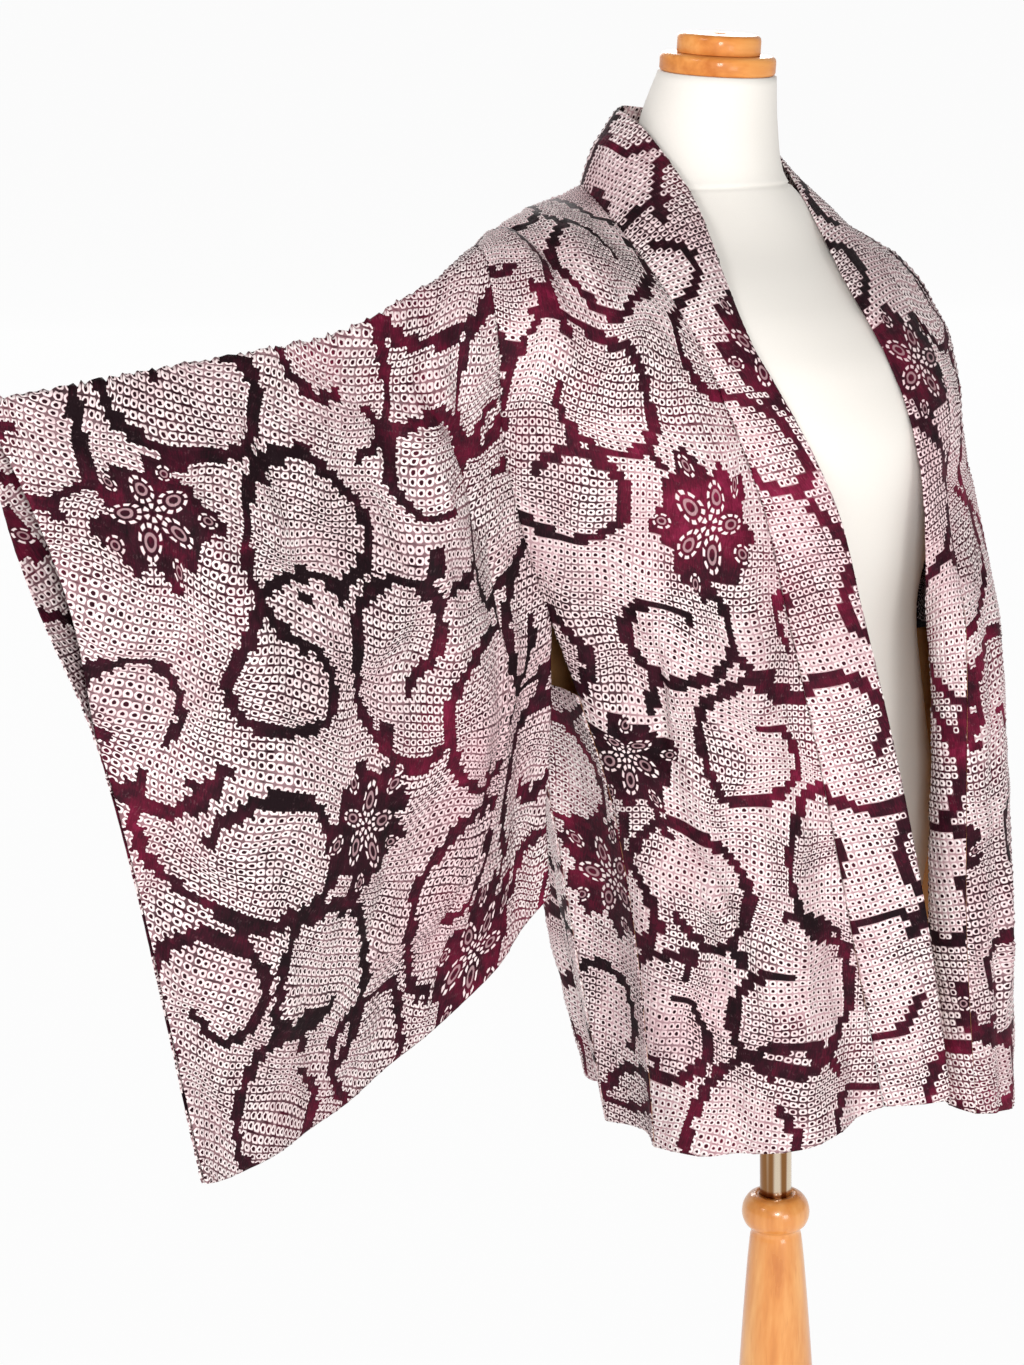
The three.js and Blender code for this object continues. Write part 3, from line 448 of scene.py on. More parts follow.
def sleeve(panel, stations, folds):
    """The sleeve all round, from its sewn bottom edge over the fold and back, along and then across."""
    edge = panel_edge(panel, "outer")
    sewn = slice(ARMHOLE_FRONT_ROW * STEPS_PER_ROW, ARMHOLE_BACK_ROW * STEPS_PER_ROW + 1)
    anchor = edge["point"][sewn] + edge["off"][sewn] * SEAM_GAP
    points = edge["point"][sewn]
    stations = np.array(stations, float)
    top = int(np.argmax(points[:, 2]))
    height = np.linalg.norm(stations[0, 0] - stations[0, 2])
    steps = np.linalg.norm(np.diff(points, axis=0), axis=1) / height
    share_of = np.zeros(len(points))
    for i in range(top - 1, -1, -1):
        share_of[i] = share_of[i + 1] + steps[i]
    for i in range(top + 1, len(points)):
        share_of[i] = share_of[i - 1] + steps[i - 1]

    def free_edge(k, layer, order):
        """Places on the loop between an end of the armhole and the bottom edge."""
        start = share_of[k]
        return [(start + (1 - start) * step / FREE_EDGE_STEPS, layer, k, False) for step in order]

    last_point = len(points) - 1
    loop = free_edge(0, -1, range(FREE_EDGE_STEPS, 0, -1))
    loop += [(share_of[i], np.sign(i - top), i, True) for i in range(len(points))]
    loop += free_edge(last_point, 1, range(1, FREE_EDGE_STEPS + 1))
    last = len(stations) - 1
    span = stations[-1, 0] - stations[0, 0]
    back = unit(np.array([-span[1], span[0], 0])) * panel["side"]
    fill = np.array(SLEEVE_FILL, float)

    def plain(across, share, layer):
        """A place on the sleeve before it is drawn to the armhole."""
        line = np.array([through(stations[:, k], across * last) for k in range(3)])
        upper, lower = (np.interp(across, fill[:, 0], fill[:, k]) for k in (1, 2))
        at_cuff = smooth((across - 0.8) / 0.2)
        puff = upper * math.sin(math.pi * min(1, share / (CUFF_OPENING * (2 - at_cuff))))
        body = max(0, puff) + lower * smooth(share / 0.3) * (1 - smooth((share - 0.75) / 0.25) * 0.9)
        half = max(LAYER_GAP, body - lower * at_cuff)
        wave = 0
        for fold_top, fold_bottom, fold_half, depth in folds:
            distance = abs(across - (fold_top + (fold_bottom - fold_top) * share)) / fold_half
            if distance < 1:
                wave += depth * hump(distance)
        return through(line, share * 2) + back * (layer * half + wave * smooth(share / 0.25))

    grid = []
    for i in range(SLEEVE_STATIONS):
        across = i / (SLEEVE_STATIONS - 1)
        blend = 1 - smooth(across / 0.4)
        row = []
        for share, layer, k, is_sewn in loop:
            seam_share = share_of[k]
            pull = anchor[k] - plain(0, seam_share, layer)
            fade = 1 if is_sewn else 1 - smooth((share - seam_share) / (1 - seam_share))
            row.append(plain(across, share, layer) + pull * blend * fade)
        grid.append(row)
    return np.array(grid).transpose(1, 0, 2)


# ---- from flat cloth to the hung surface ----
def running_length(steps):
    """The length up to each point of a row, from the steps between its points."""
    return np.concatenate([[0], np.cumsum(steps)])


class Drape:
    """A piece's coarse grid made even, so that flat cloth laid on it keeps its length and width."""

    def __init__(self, grid, outward=1, rows=240, columns=72):
        # grid[along][across]; outward is 1 or -1 for the sense of across x along
        along, across = (np.arange((count - 1) * FINE_STEPS + 1) / FINE_STEPS for count in grid.shape[:2])
        dense = through(grid.reshape(len(grid), -1), along).reshape(len(along), grid.shape[1], 3)
        dense = through(dense.transpose(1, 0, 2).reshape(grid.shape[1], -1), across)
        dense = dense.reshape(len(across), len(along), 3).transpose(1, 0, 2)
        widths, even = [], []
        for row in dense:
            length = running_length(np.linalg.norm(np.diff(row, axis=0), axis=1))
            widths.append(length[-1])
            shares = np.linspace(0, length[-1], columns)
            even.append(np.stack([np.interp(shares, length, row[:, k]) for k in range(3)], axis=-1))
        even = np.array(even)
        length = running_length(np.linalg.norm(np.diff(even, axis=0), axis=2).mean(axis=1))
        shares = np.linspace(0, length[-1], rows)
        flat = even.reshape(len(even), -1)
        evened = np.stack([np.interp(shares, length, flat[:, k]) for k in range(flat.shape[1])], axis=-1)
        self.points = evened.reshape(rows, columns, 3)
        self.width = float(np.mean(widths))
        self.length = float(length[-1])
        self.normals = grid_normals(self.points) * outward

    def at(self, s, t):
        """Points and outward normals at flat places s across and t along, both as shares."""
        rows, columns = self.points.shape[:2]
        y = np.clip(t, 0, 1) * (rows - 1)
        x = np.clip(s, 0, 1) * (columns - 1)
        i, j = np.minimum(y.astype(int), rows - 2), np.minimum(x.astype(int), columns - 2)
        v, u = (y - i)[:, None], (x - j)[:, None]

        def mix(a):
            low = a[i, j] * (1 - u) + a[i, j + 1] * u
            high = a[i + 1, j] * (1 - u) + a[i + 1, j + 1] * u
            return low * (1 - v) + high * v

        return mix(self.points), unit(mix(self.normals))


def wave_noise(x, y, seed, scale):
    """Smooth, repeatable unevenness made of a few crossed waves."""
    total = np.zeros_like(x)
    for k in range(5):
        c, s = math.cos(seed * 1.7 + k * 2.399), math.sin(seed * 1.7 + k * 2.399)
        stretch = (1 + 0.37 * k) / scale
        shift = seed * 3.1 + k * 1.3 + 1.4 * np.sin((x * s - y * c) * stretch * 3.7)
        total += np.sin((x * c + y * s) * stretch * 2 * math.pi + shift) / (1 + 0.5 * k)
    return total / 3


def crease_depth(creases, s, t, width, length):
    """Depth of the listed creases: each runs between two places in mm, with its half width and depth."""
    x, y = s * width, t * length
    total = np.zeros_like(x)
    for x0, y0, x1, y1, half, depth in creases:
        dx, dy = x1 - x0, y1 - y0
        size = math.hypot(dx, dy)
        run = ((x - x0) * dx + (y - y0) * dy) / (size * size)
        bow = np.sin(np.clip(run, 0, 1) * math.pi) * size * CREASE_BOW
        off = ((x - x0) * dy - (y - y0) * dx) / size - bow
        inside = (run > -CREASE_PAST) & (run < 1 + CREASE_PAST)
        fade = smooth(np.minimum(run + CREASE_PAST, 1 + CREASE_PAST - run) / 0.3)
        total += np.where(inside, depth * fade * np.exp(-((off / half) ** 2) * 1.5), 0)
    return total


# ---- the figure: vines and flowers, in flat millimetres ----
def scatter(k, seed):
    """A repeatable number from 0 to 1."""
    value = math.sin(k * 127.1 + seed * 311.7) * 43758.5453
    return value - math.floor(value)


class Figure:
    """Curling vines and flowers laid out over a piece of flat cloth."""

    def __init__(self, width, length, spacing, seed, phase):
        self.vines, self.flowers = [], []
        k = 0
        rows = int(length / (spacing * ROW_SHARE)) + 3
        columns = int(width / spacing) + 3
        centres = {}
        for i in range(rows):
            for j in range(columns):
                k += 1
                x = (j - 1 + (0.5 if i % 2 else 0) + STRAY * (scatter(k, seed) - 0.5) + phase) * spacing
                y = (i - 1 + STRAY * (scatter(k, seed + 5) - 0.5) + phase * 0.6) * spacing * ROW_SHARE
                centres[i, j] = (x, y)
                if (i * 2 + j * 3 + seed) % 7 == 0:
                    size = spacing * (0.3 + 0.06 * scatter(k, seed + 9))
                    self.flowers.append((x, y, size, scatter(k, seed + 3) * 6))
                    continue
                radius = spacing * (0.33 + 0.15 * scatter(k, seed + 1))
                start = scatter(k, seed + 2) * 2 * math.pi
                turn = 1 if scatter(k, seed + 4) > 0.5 else -1
                self.vines.append(self.curl(x, y, radius, start, turn))
        for (i, j), place in centres.items():
            k += 1
            other = centres.get((i + 1, j if scatter(k, seed + 6) > 0.5 else j + (1 if i % 2 else -1)))
            if other is not None and scatter(k, seed + 7) > 0.12:
                self.vines.append(self.stem(place, other, spacing * 0.4, scatter(k, seed + 8) - 0.5))

    @staticmethod
    def curl(x, y, radius, start, turn):
        """Places along a curl, with half its thickness at each."""
        u = np.linspace(0, 1, 60)
        angle = start + turn * u * 2 * math.pi * 1.02
        r = radius * (1 + 0.42 * (1 - smooth(u / 0.26))) * (1 - 0.52 * smooth((u - 0.55) / 0.45))
        r = r * (1 + 0.08 * np.sin(2 * angle + start))
        thick = VINE_HALF - TIP_THINNER * smooth((u - 0.6) / 0.4)
        return np.stack([x + r * np.cos(angle), y + r * np.sin(angle), thick], axis=1)

    @staticmethod
    def stem(a, b, trim, bend):
        """Places along a stem between two centres, with half its thickness at each."""
        a, b = np.array(a), np.array(b)
        way = b - a
        size = np.linalg.norm(way)
        side = np.array([-way[1], way[0]]) / size
        u = np.linspace(trim / size, 1 - trim / size, 16)
        line = a + way * u[:, None] + side * (np.sin(u * math.pi)[:, None] - 0.9) * bend * size * 0.6
        return np.concatenate([line, np.full((len(u), 1), STEM_HALF)], axis=1)

    def value(self, x, y):
        """1 on a vine, 2 on a flower's dark ground, else 0; and the flower's own coordinates."""
        shade = np.zeros_like(x)
        for line in self.vines:
            low = line[:, :2].min(axis=0) - VINE_MARGIN
            high = line[:, :2].max(axis=0) + VINE_MARGIN
            near = np.flatnonzero((x > low[0]) & (x < high[0]) & (y > low[1]) & (y < high[1]))
            if not len(near):
                continue
            gap = np.hypot(x[near, None] - line[:, 0], y[near, None] - line[:, 1]) - line[:, 2]
            shade[near[gap.min(axis=1) < 0]] = 1
        local = np.full((len(x), 2), 9.0)
        for flower_x, flower_y, size, turn in self.flowers:
            long = 1.35 - 0.4 * (turn % 1)
            c, s = math.cos(turn), math.sin(turn)
            dx = ((x - flower_x) * c + (y - flower_y) * s) / long
            dy = ((y - flower_y) * c - (x - flower_x) * s) * long * 0.9
            r = np.hypot(dx, dy) / size
            angle = np.arctan2(dy, dx)
            shade[r < 1 + 0.12 * np.cos(5 * angle) + 0.1 * np.cos(9 * angle + turn)] = 2
            around = r < 1.5
            local[around, 0] = (r * np.cos(angle))[around]
            local[around, 1] = (r * np.sin(angle))[around]
        return shade, local


# ---- cloth pieces ----
def add_piece(name, bm):
    """Puts a bmesh into the scene as one smooth object."""
    for face in bm.faces:
        face.smooth = True
    mesh = bpy.data.meshes.new(name)
    bm.to_mesh(mesh)
    bm.free()
    piece = bpy.data.objects.new(name, mesh)
    bpy.context.scene.collection.objects.link(piece)
    return piece


def cut_bolt(width, length, pitch, bias):
    """Flat cloth with one face for each knot, its rows on the bias, cut to a rectangle from (0, 0)."""
    turn = Matrix.Rotation(bias, 3, "Z")
    c, s = abs(math.cos(bias)), abs(math.sin(bias))
    across, along = width * c + length * s + 4 * pitch, width * s + length * c + 4 * pitch
    columns, rows = math.ceil(across / pitch), math.ceil(along / pitch)
    bm = bmesh.new()
    bmesh.ops.create_grid(bm, x_segments=columns, y_segments=rows, size=0.5)
    bmesh.ops.scale(bm, vec=(columns * pitch, rows * pitch, 1), verts=bm.verts)
    bmesh.ops.rotate(bm, cent=(0, 0, 0), matrix=turn, verts=bm.verts)
    bmesh.ops.translate(bm, vec=(width / 2, length / 2, 0), verts=bm.verts)
    for co, no in (((0, 0, 0), (-1, 0, 0)), ((width, 0, 0), (1, 0, 0)),
                   ((0, 0, 0), (0, -1, 0)), ((0, length, 0), (0, 1, 0))):
        bmesh.ops.bisect_plane(bm, geom=bm.verts[:] + bm.edges[:] + bm.faces[:], dist=0.05,
                               plane_co=co, plane_no=no, clear_outer=True)
    return bm, turn.inverted(), Vector((width / 2, length / 2, 0))


def make_cloth(name, drape, seed, bias, phase, warp, creases, clear, lined):
    """One piece of tied-dot cloth, cut flat, patterned and laid on its surface."""
    look = bpy.context.scene.haori_cloth
    width, length = drape.width, drape.length
    bm, back, centre = cut_bolt(width, length, look.pitch, math.radians(bias))
    peaks = set(bmesh.ops.poke(bm, faces=bm.faces[:])["verts"])
    bm.verts.index_update()
    flat = np.array([v.co[:] for v in bm.verts])
    lattice = (flat - np.array(centre)) @ np.array(back).T / look.pitch + LATTICE_START
    knots = bm.loops.layers.uv.new("knots")
    figure = bm.faces.layers.float.new("figure")
    blossom = bm.loops.layers.uv.new("blossom")
    peak_of = [next((v.index for v in f.verts if v in peaks), f.verts[0].index) for f in bm.faces]
    plan = Figure(width, length, look.spacing, seed, phase)
    shade, _ = plan.value(flat[peak_of, 0], flat[peak_of, 1])
    _, local = plan.value(flat[:, 0], flat[:, 1])
    for k, f in enumerate(bm.faces):
        f[figure] = float(shade[k])
        for loop in f.loops:
            i = loop.vert.index
            loop[knots].uv = lattice[i, :2]
            loop[blossom].uv = local[i]
    on_figure = np.zeros(len(flat))
    on_figure[peak_of] = shade
    is_peak = np.zeros(len(flat), bool)
    is_peak[[v.index for v in peaks]] = True
    x, y = flat[:, 0], flat[:, 1]
    edge_x, edge_y = np.minimum(x, width - x), np.minimum(y, length - y)
    fade_x, fade_y = smooth(edge_x / EDGE_FADE), smooth(edge_y / EDGE_FADE)
    s = (x + warp * fade_x * wave_noise(x, y, seed + 0.3, WARP_SCALES[0])) / width
    t = (y + warp * fade_y * wave_noise(x, y, seed + 0.8, WARP_SCALES[1])) / length
    points, normals = drape.at(s, t)
    turned_in = np.clip(np.minimum(edge_x, edge_y) / HEM_ROLL, 0, 1)
    lift = CLOTH_LIFT * (0.2 + 0.8 * np.sqrt(1 - (1 - turned_in) ** 2))
    lift += np.where(is_peak, np.where(on_figure > 0.5, VINE_PEAK, KNOT_PEAK), 0)
    lift += CRINKLE * fade_x * fade_y * wave_noise(x * 1.6, y, seed + 2.2, CRINKLE_SCALE)
    lift += crease_depth(creases, s, t, width, length) * fade_x * fade_y
    points = points + normals * lift[:, None]
    if clear:
        for _ in range(3):
            points += way_out(points, FORM_GAP)
    for v, p in zip(bm.verts, points * MM):
        v.co = p
    piece = add_piece(name, bm)
    wall = piece.modifiers.new("wall", "SOLIDIFY")
    wall.thickness = CLOTH_THICKNESS * MM
    wall.offset = -1
    wall.use_quality_normals = False
    wall.material_offset = int(lined)
    wall.material_offset_rim = int(lined)
    return piece


# ---- shader helpers ----
class Value:
    """A node's output. Arithmetic with it adds the nodes for it."""

    def __init__(self, nodes, socket):
        self.nodes, self.socket = nodes, socket

    def __add__(self, other):
        return self.nodes.math("ADD", self, other)

    def __sub__(self, other):
        return self.nodes.math("SUBTRACT", self, other)

    def __rsub__(self, other):
        return self.nodes.math("SUBTRACT", other, self)

    def __mul__(self, other):
        return self.nodes.math("MULTIPLY", self, other)

    def __truediv__(self, other):
        return self.nodes.math("DIVIDE", self, other)

    def __abs__(self):
        return self.nodes.math("ABSOLUTE", self)


class Nodes:
    """Short calls that add nodes to a tree and link them."""

    def __init__(self, tree):
        self.tree = tree

    def put(self, value, socket):
        if isinstance(value, Value):
            self.tree.links.new(value.socket, socket)
        elif value is not None:
            socket.default_value = value

    def add(self, kind, inputs=(), **settings):
        node = self.tree.nodes.new(kind)
        for key, value in settings.items():
            setattr(node, key, value)
        for key, value in dict(inputs).items():
            self.put(value, node.inputs[key])
        return node

    def value(self, kind, inputs=(), out=0, **settings):
        return Value(self, self.add(kind, inputs, **settings).outputs[out])

    def values(self, kind, inputs, **settings):
        return [Value(self, socket) for socket in self.add(kind, inputs, **settings).outputs]

    def math(self, operation, *values):
        return self.value("ShaderNodeMath", enumerate(values), operation=operation)

    def largest(self, first, *others):
        for other in others:
            first = self.math("MAXIMUM", first, other)
        return first

    def length(self, x, y):
        return self.math("SQRT", x * x + y * y)

    def vector(self, operation, a, b=None, out=0):
        second = 3 if operation == "SCALE" else 1
        return self.value("ShaderNodeVectorMath", {0: a, second: b}, out, operation=operation)

    def step(self, value, low, high, a=0.0, b=1.0):
        inputs = enumerate((value, low, high, a, b))
        return self.value("ShaderNodeMapRange", inputs, interpolation_type="SMOOTHSTEP")

    def line(self, value, middle, low, high):
        """1 where a value is less than low from the middle, and 0 where it is more than high from it."""
        return self.step(abs(value - middle), low, high, 1.0, 0.0)

    def mix(self, factor, a, b):
        return self.value("ShaderNodeMix", {0: factor, 6: a, 7: b}, 2, data_type="RGBA")

    def noise(self, vector, scale, detail=2.0, rough=0.5, out=0):
        inputs = {"Vector": vector, "Scale": scale, "Detail": detail, "Roughness": rough}
        return self.value("ShaderNodeTexNoise", inputs, out)

    def streaks(self, vector, stretch, detail=2.0, rough=0.5):
        """Noise that is finer along the axes with a larger stretch."""
        return self.noise(self.vector("MULTIPLY", vector, stretch), 1.0, detail, rough)

    def place(self):
        return self.value("ShaderNodeTexCoord", out="Object")

    def ramp(self, value, stops):
        node = self.add("ShaderNodeValToRGB", {0: value})
        elements = node.color_ramp.elements
        while len(elements) < len(stops):
            elements.new(0.5)
        for element, (place, colour) in zip(elements, stops):
            element.position = place
            element.color = colour
        return Value(self, node.outputs[0])

    def bump(self, height, strength, distance):
        inputs = {"Strength": strength, "Distance": distance, "Height": height}
        return self.value("ShaderNodeBump", inputs)


def group(name, inputs, outputs):
    """A new shader group: the tree, its nodes, its inputs as values and its output sockets."""
    tree = bpy.data.node_groups.new(name, "ShaderNodeTree")
    for label, kind, value in inputs:
        socket = tree.interface.new_socket(label, in_out="INPUT", socket_type=f"NodeSocket{kind}")
        if value is not None:
            socket.default_value = value
    for label in outputs:
        tree.interface.new_socket(label, in_out="OUTPUT", socket_type="NodeSocketFloat")
    n = Nodes(tree)
    given = {socket.name: Value(n, socket) for socket in n.add("NodeGroupInput").outputs}
    return tree, n, given, n.add("NodeGroupOutput").inputs


def knot_group():
    """Draws the tied knots of the cloth: how much dye each place took, with painted shade in the gaps between
    rows of knots, and its height.
    """
    tree, n, given, end = group(
        "tied knots", [("Knots", "Vector", None), ("Figure", "Float", 0.0), ("Rows", "Float", 1.0)],
        ["Dye", "Height", "Chance"])
    place = given["Knots"]
    cell = n.vector("FLOOR", place)
    random = n.value("ShaderNodeTexWhiteNoise", {"Vector": cell}, "Color", noise_dimensions="2D")
    size_chance, chance, _ = n.values("ShaderNodeSeparateColor", {0: random})
    jitter = n.vector("SCALE", n.vector("SUBTRACT", random, (0.5, 0.5, 0.5)), 0.12)
    local = n.vector("ADD", n.vector("SUBTRACT", n.vector("FRACTION", place), (0.5, 0.5, 0.0)), jitter)
    u, v, _ = n.values("ShaderNodeSeparateXYZ", {0: local})
    wobble = n.noise(place, 1.7, 3.0, 0.6)
    r = n.length(u, v) + (wobble - 0.5) * 0.26
    size = n.step(size_chance, 0.0, 1.0, 0.8, 1.15) * DOT_RADIUS
    dot = n.step(r, size - 0.06, size + 0.05, 1.0, 0.0)
    # the gaps between knots: rows, sides and corners, in patches where the cloth is drawn; dyed cloth, and
    # the dark lines between rows are partly painted shade of the valleys between raised knots
    drawn = n.step(n.noise(place, 0.075), 0.45, 0.57, given["Rows"], 1.0)
    broken = n.step(n.streaks(place, (0.35, 1.0, 1.0)), 0.4, 0.6, 0.6, 1.0)
    rows = n.step(abs(v), 0.345, 0.44) * broken * drawn
    sides = n.step(abs(u), 0.42, 0.5) * 0.22
    corners = n.step(r, 0.41, 0.53) * 0.8
    smear = n.step(n.streaks(place, (1.3, 4.0, 1.0), 3.0, 0.65), 0.55, 0.75, 0.0, 0.28)
    # the vines: dyed all over, with worn hatching
    slant = (n.vector("DOT_PRODUCT", place, (1.0, 0.25, 0.0), 1) + wobble) * 2.6
    hatch = n.line(n.math("FRACT", slant), 0.5, 0.1, 0.3)
    worn = n.step(n.streaks(place, (0.8, 1.6, 1.0)), 0.46, 0.66, 0.0, 0.17)
    vine = given["Figure"] * (1.0 - hatch * worn)
    # the Dye output also holds the painted shade of the lines between rows of knots
    n.put(n.largest(dot, rows, n.largest(sides, corners) * drawn, smear, vine), end["Dye"])
    dome = n.step(r, 0.08, 0.55, 1.0, 0.0)
    n.put((dome - dot * 0.35) * (1.0 - given["Figure"] * 0.75), end["Height"])
    n.put(chance, end["Chance"])
    return tree


def blossom_group():
    """Petals outlined in small undyed rings on a dyed patch; gives how much of the dye they hold back."""
    tree, n, given, end = group("blossom", [("Local", "Vector", None)], ["Undyed"])
    x, y, _ = n.values("ShaderNodeSeparateXYZ", {0: given["Local"]})
    r = n.length(x, y)
    angle = n.math("ARCTAN2", y, x)
    turn = angle / (2 * math.pi) * PETALS
    heart = n.line(r, 0.11, 0.03, 0.06) * n.step(n.math("SINE", angle * 6.0), -0.5, 0.2)
    rings = []
    # inner and outer petals: reach, half length and width, beads along the outline, share of a turn
    for reach, long_half, wide_half, beads, shift in (
        (0.46, 0.3, 0.2, 9.0, 0.0), (0.92, 0.2, 0.13, 6.0, 0.5),
    ):
        v = (n.math("FRACT", turn + shift) - 0.5) * r * (2 * math.pi / PETALS) / wide_half
        u = (r - reach) / long_half
        oval = n.length(u, v)
        string = n.step(n.math("SINE", n.math("ARCTAN2", v, u) * beads), -0.75, -0.1)
        rings.append(n.line(oval, 0.82, 0.08, 0.17) * string)
        rings.append(n.step(abs(oval - 0.38), 0.06, 0.14, 0.55, 0.0))
    n.put(n.largest(heart, *rings), end["Undyed"])
    return tree


def new_material(name, **settings):
    """A new material, its nodes and the sockets of its shader."""
    material = bpy.data.materials.new(name)
    material.use_nodes = True
    sockets = material.node_tree.nodes["Principled BSDF"].inputs
    for key, value in settings.items():
        sockets[key.replace("_", " ")].default_value = value
    return material, Nodes(material.node_tree), sockets


def rgb(code):
    """A linear colour from the usual six-digit code."""
    parts = [int(code[k:k + 2], 16) / 255 for k in (0, 2, 4)]
    return tuple(c / 12.92 if c <= 0.04045 else ((c + 0.055) / 1.055) ** 2.4 for c in parts) + (1.0,)


def cloth_material(name, rows):
    """Tied-dot cloth; rows is how plainly the dye and the painted shade show between its rows of knots."""
    look = bpy.context.scene.haori_cloth
    ground, blush, shadow = rgb(look.ground), rgb(look.blush), rgb(look.shadow)
    dark, plum, wine, rose = (rgb(code) for code in (look.dark, look.plum, look.wine, look.rose))
    material, n, shader = new_material(name, Roughness=0.85, Specular_IOR_Level=0.12)
    uv = n.value("ShaderNodeUVMap", uv_map="knots")
    local = n.value("ShaderNodeUVMap", uv_map="blossom")
    figure = n.value("ShaderNodeAttribute", out="Fac", attribute_type="GEOMETRY", attribute_name="figure")
    place = n.place()
    on_figure = n.step(figure, 0.3, 0.7)
    on_flower = n.step(figure, 1.3, 1.7)
    knots = bpy.data.node_groups.get("tied knots") or knot_group()
    blossom = bpy.data.node_groups.get("blossom") or blossom_group()
    inputs = {"Knots": uv, "Figure": on_figure, "Rows": rows}
    # dye also holds painted shade: the dark lines between rows of knots
    dye, height, chance = n.values("ShaderNodeGroup", inputs, node_tree=knots)
    undyed = n.value("ShaderNodeGroup", {"Local": local}, node_tree=blossom) * on_flower
    dye = dye * (1.0 - undyed * 0.88)
    fine = n.noise(place, 60.0)
    streak = n.streaks(uv, (4.5, 0.9, 1.0), 3.0, 0.6)
    depth = n.noise(place, 5.0, 3.0, 0.6) + (fine - 0.5) * 0.3 + (chance - 0.5) * 0.05 + (streak - 0.5) * 0.24
    ink = n.ramp(depth, [(0.41, dark), (0.53, plum), (0.64, wine), (0.84, rose)])
    dots = n.mix(on_figure, n.mix(0.3, ink, plum), ink)
    ground = n.mix(n.step(n.noise(place, 4.2), 0.5, 0.72, 0.0, 0.6), ground, blush)
    # the shaded cloth colour goes into the ground in four ways: as fine grain and on single knots at random,
    # as soft patches of painted shade standing for darker zones between folds, and round the dyed places as
    # the dye's bleed
    for amount in (fine * 0.22, n.step(n.noise(place, 13.0, 3.0), 0.46, 0.66, 0.0, 0.3),
                   n.step(chance, 0.4, 1.0, 0.0, 0.25), n.step(dye, 0.05, 0.5)):
        ground = n.mix(amount, ground, shadow)
    n.put(n.mix(n.step(dye, 0.15, 0.95), ground, dots), shader["Base Color"])
    weave = n.streaks(uv, (9.0, 3.0, 1.0))
    n.put(n.bump(height + weave * 0.18, 0.7, 0.0012), shader["Normal"])
    n.put(n.step(dye, 0.0, 1.0, 0.86, 0.7), shader["Roughness"])
    return material


def lining_material(name):
    material, n, shader = new_material(name, Roughness=0.75, Specular_IOR_Level=0.3)
    place = n.place()
    thread = n.streaks(place, (900.0, 900.0, 260.0), 1.0)
    colour = n.mix(n.noise(place, 9.0, 3.0), rgb("c48a52"), rgb("d8a26c"))
    n.put(n.mix(thread * 0.3, colour, rgb("5a3a20")), shader["Base Color"])
    n.put(n.bump(thread, 0.3, FINE_BUMP), shader["Normal"])
    return material


def jersey_material(name):
    material, n, shader = new_material(name, Roughness=0.88, Specular_IOR_Level=0.25, Sheen_Weight=0.1)
    place = n.place()
    knit = n.value("ShaderNodeTexWave", {"Vector": place, "Scale": 330.0, "Distortion": 1.4}, "Fac",
                   wave_type="BANDS", bands_direction="X", wave_profile="SIN")
    grit = n.noise(place, 700.0)
    colour = n.mix(n.noise(place, 6.0, 3.0), rgb("e5dfd8"), rgb("ede9e2"))
    n.put(n.mix(grit * 0.12, colour, rgb("cfc7b9")), shader["Base Color"])
    n.put(n.bump(knit * 0.5 + grit, 0.25, FINE_BUMP), shader["Normal"])
    return material


def wood_material(name, coarse, fine, gloss, rough):
    """Varnished wood; coarse and fine stretch its grain and its pores along one axis."""
    look = bpy.context.scene.haori_stand
    dark, mid, light = rgb(look.dark_grain), rgb(look.mid_grain), rgb(look.light_grain)
    material, n, shader = new_material(name, Coat_Weight=gloss, Coat_Roughness=0.12, Specular_IOR_Level=gloss)
    place = n.place()
    warp = n.vector("SCALE", n.noise(place, 3.0, out=1), 1.5)
    grain = n.noise(n.vector("ADD", n.vector("MULTIPLY", place, coarse), warp), 1.0, 4.0, 0.6)
    pores = n.streaks(place, fine)
    colour = n.ramp(grain, [(0.3, dark), (0.48, mid), (0.7, light)])
    n.put(n.mix(n.step(pores, 0.6, 0.75, 0.0, 0.25), colour, dark), shader["Base Color"])
    n.put(n.step(grain, 0.2, 0.8, rough, rough + 0.12), shader["Roughness"])
    n.put(n.bump(pores, 0.12, FINE_BUMP), shader["Normal"])
    return material


def steel_material(name):
    material, n, shader = new_material(name, Metallic=1.0)
    place = n.place()
    lines = n.streaks(place, (60.0, 60.0, 160.0), 3.0)
    # painted reflections: vertical bands of brown and pale in the steel's colour stand for the wood and the
    # light it reflects
    painted_reflection_bands = n.streaks(place, (90.0, 90.0, 1.5), 1.0)
    n.put(n.mix(n.step(painted_reflection_bands, 0.44, 0.58), rgb("8a5f38"), rgb("d8c7b0")), shader["Base Color"])
    n.put(n.step(lines, 0.2, 0.8, 0.14, 0.22), shader["Roughness"])
    return material


def material_named(name, make, *settings):
    return bpy.data.materials.get(name) or make(name, *settings)


# ---- property groups ----
def colour_setting(name, code):
    return bpy.props.StringProperty(name=name, description="Colour code", default=code)


def angle_setting(name, description, degrees):
    return bpy.props.FloatProperty(
        name=name, description=description, default=math.radians(degrees), subtype="ANGLE")


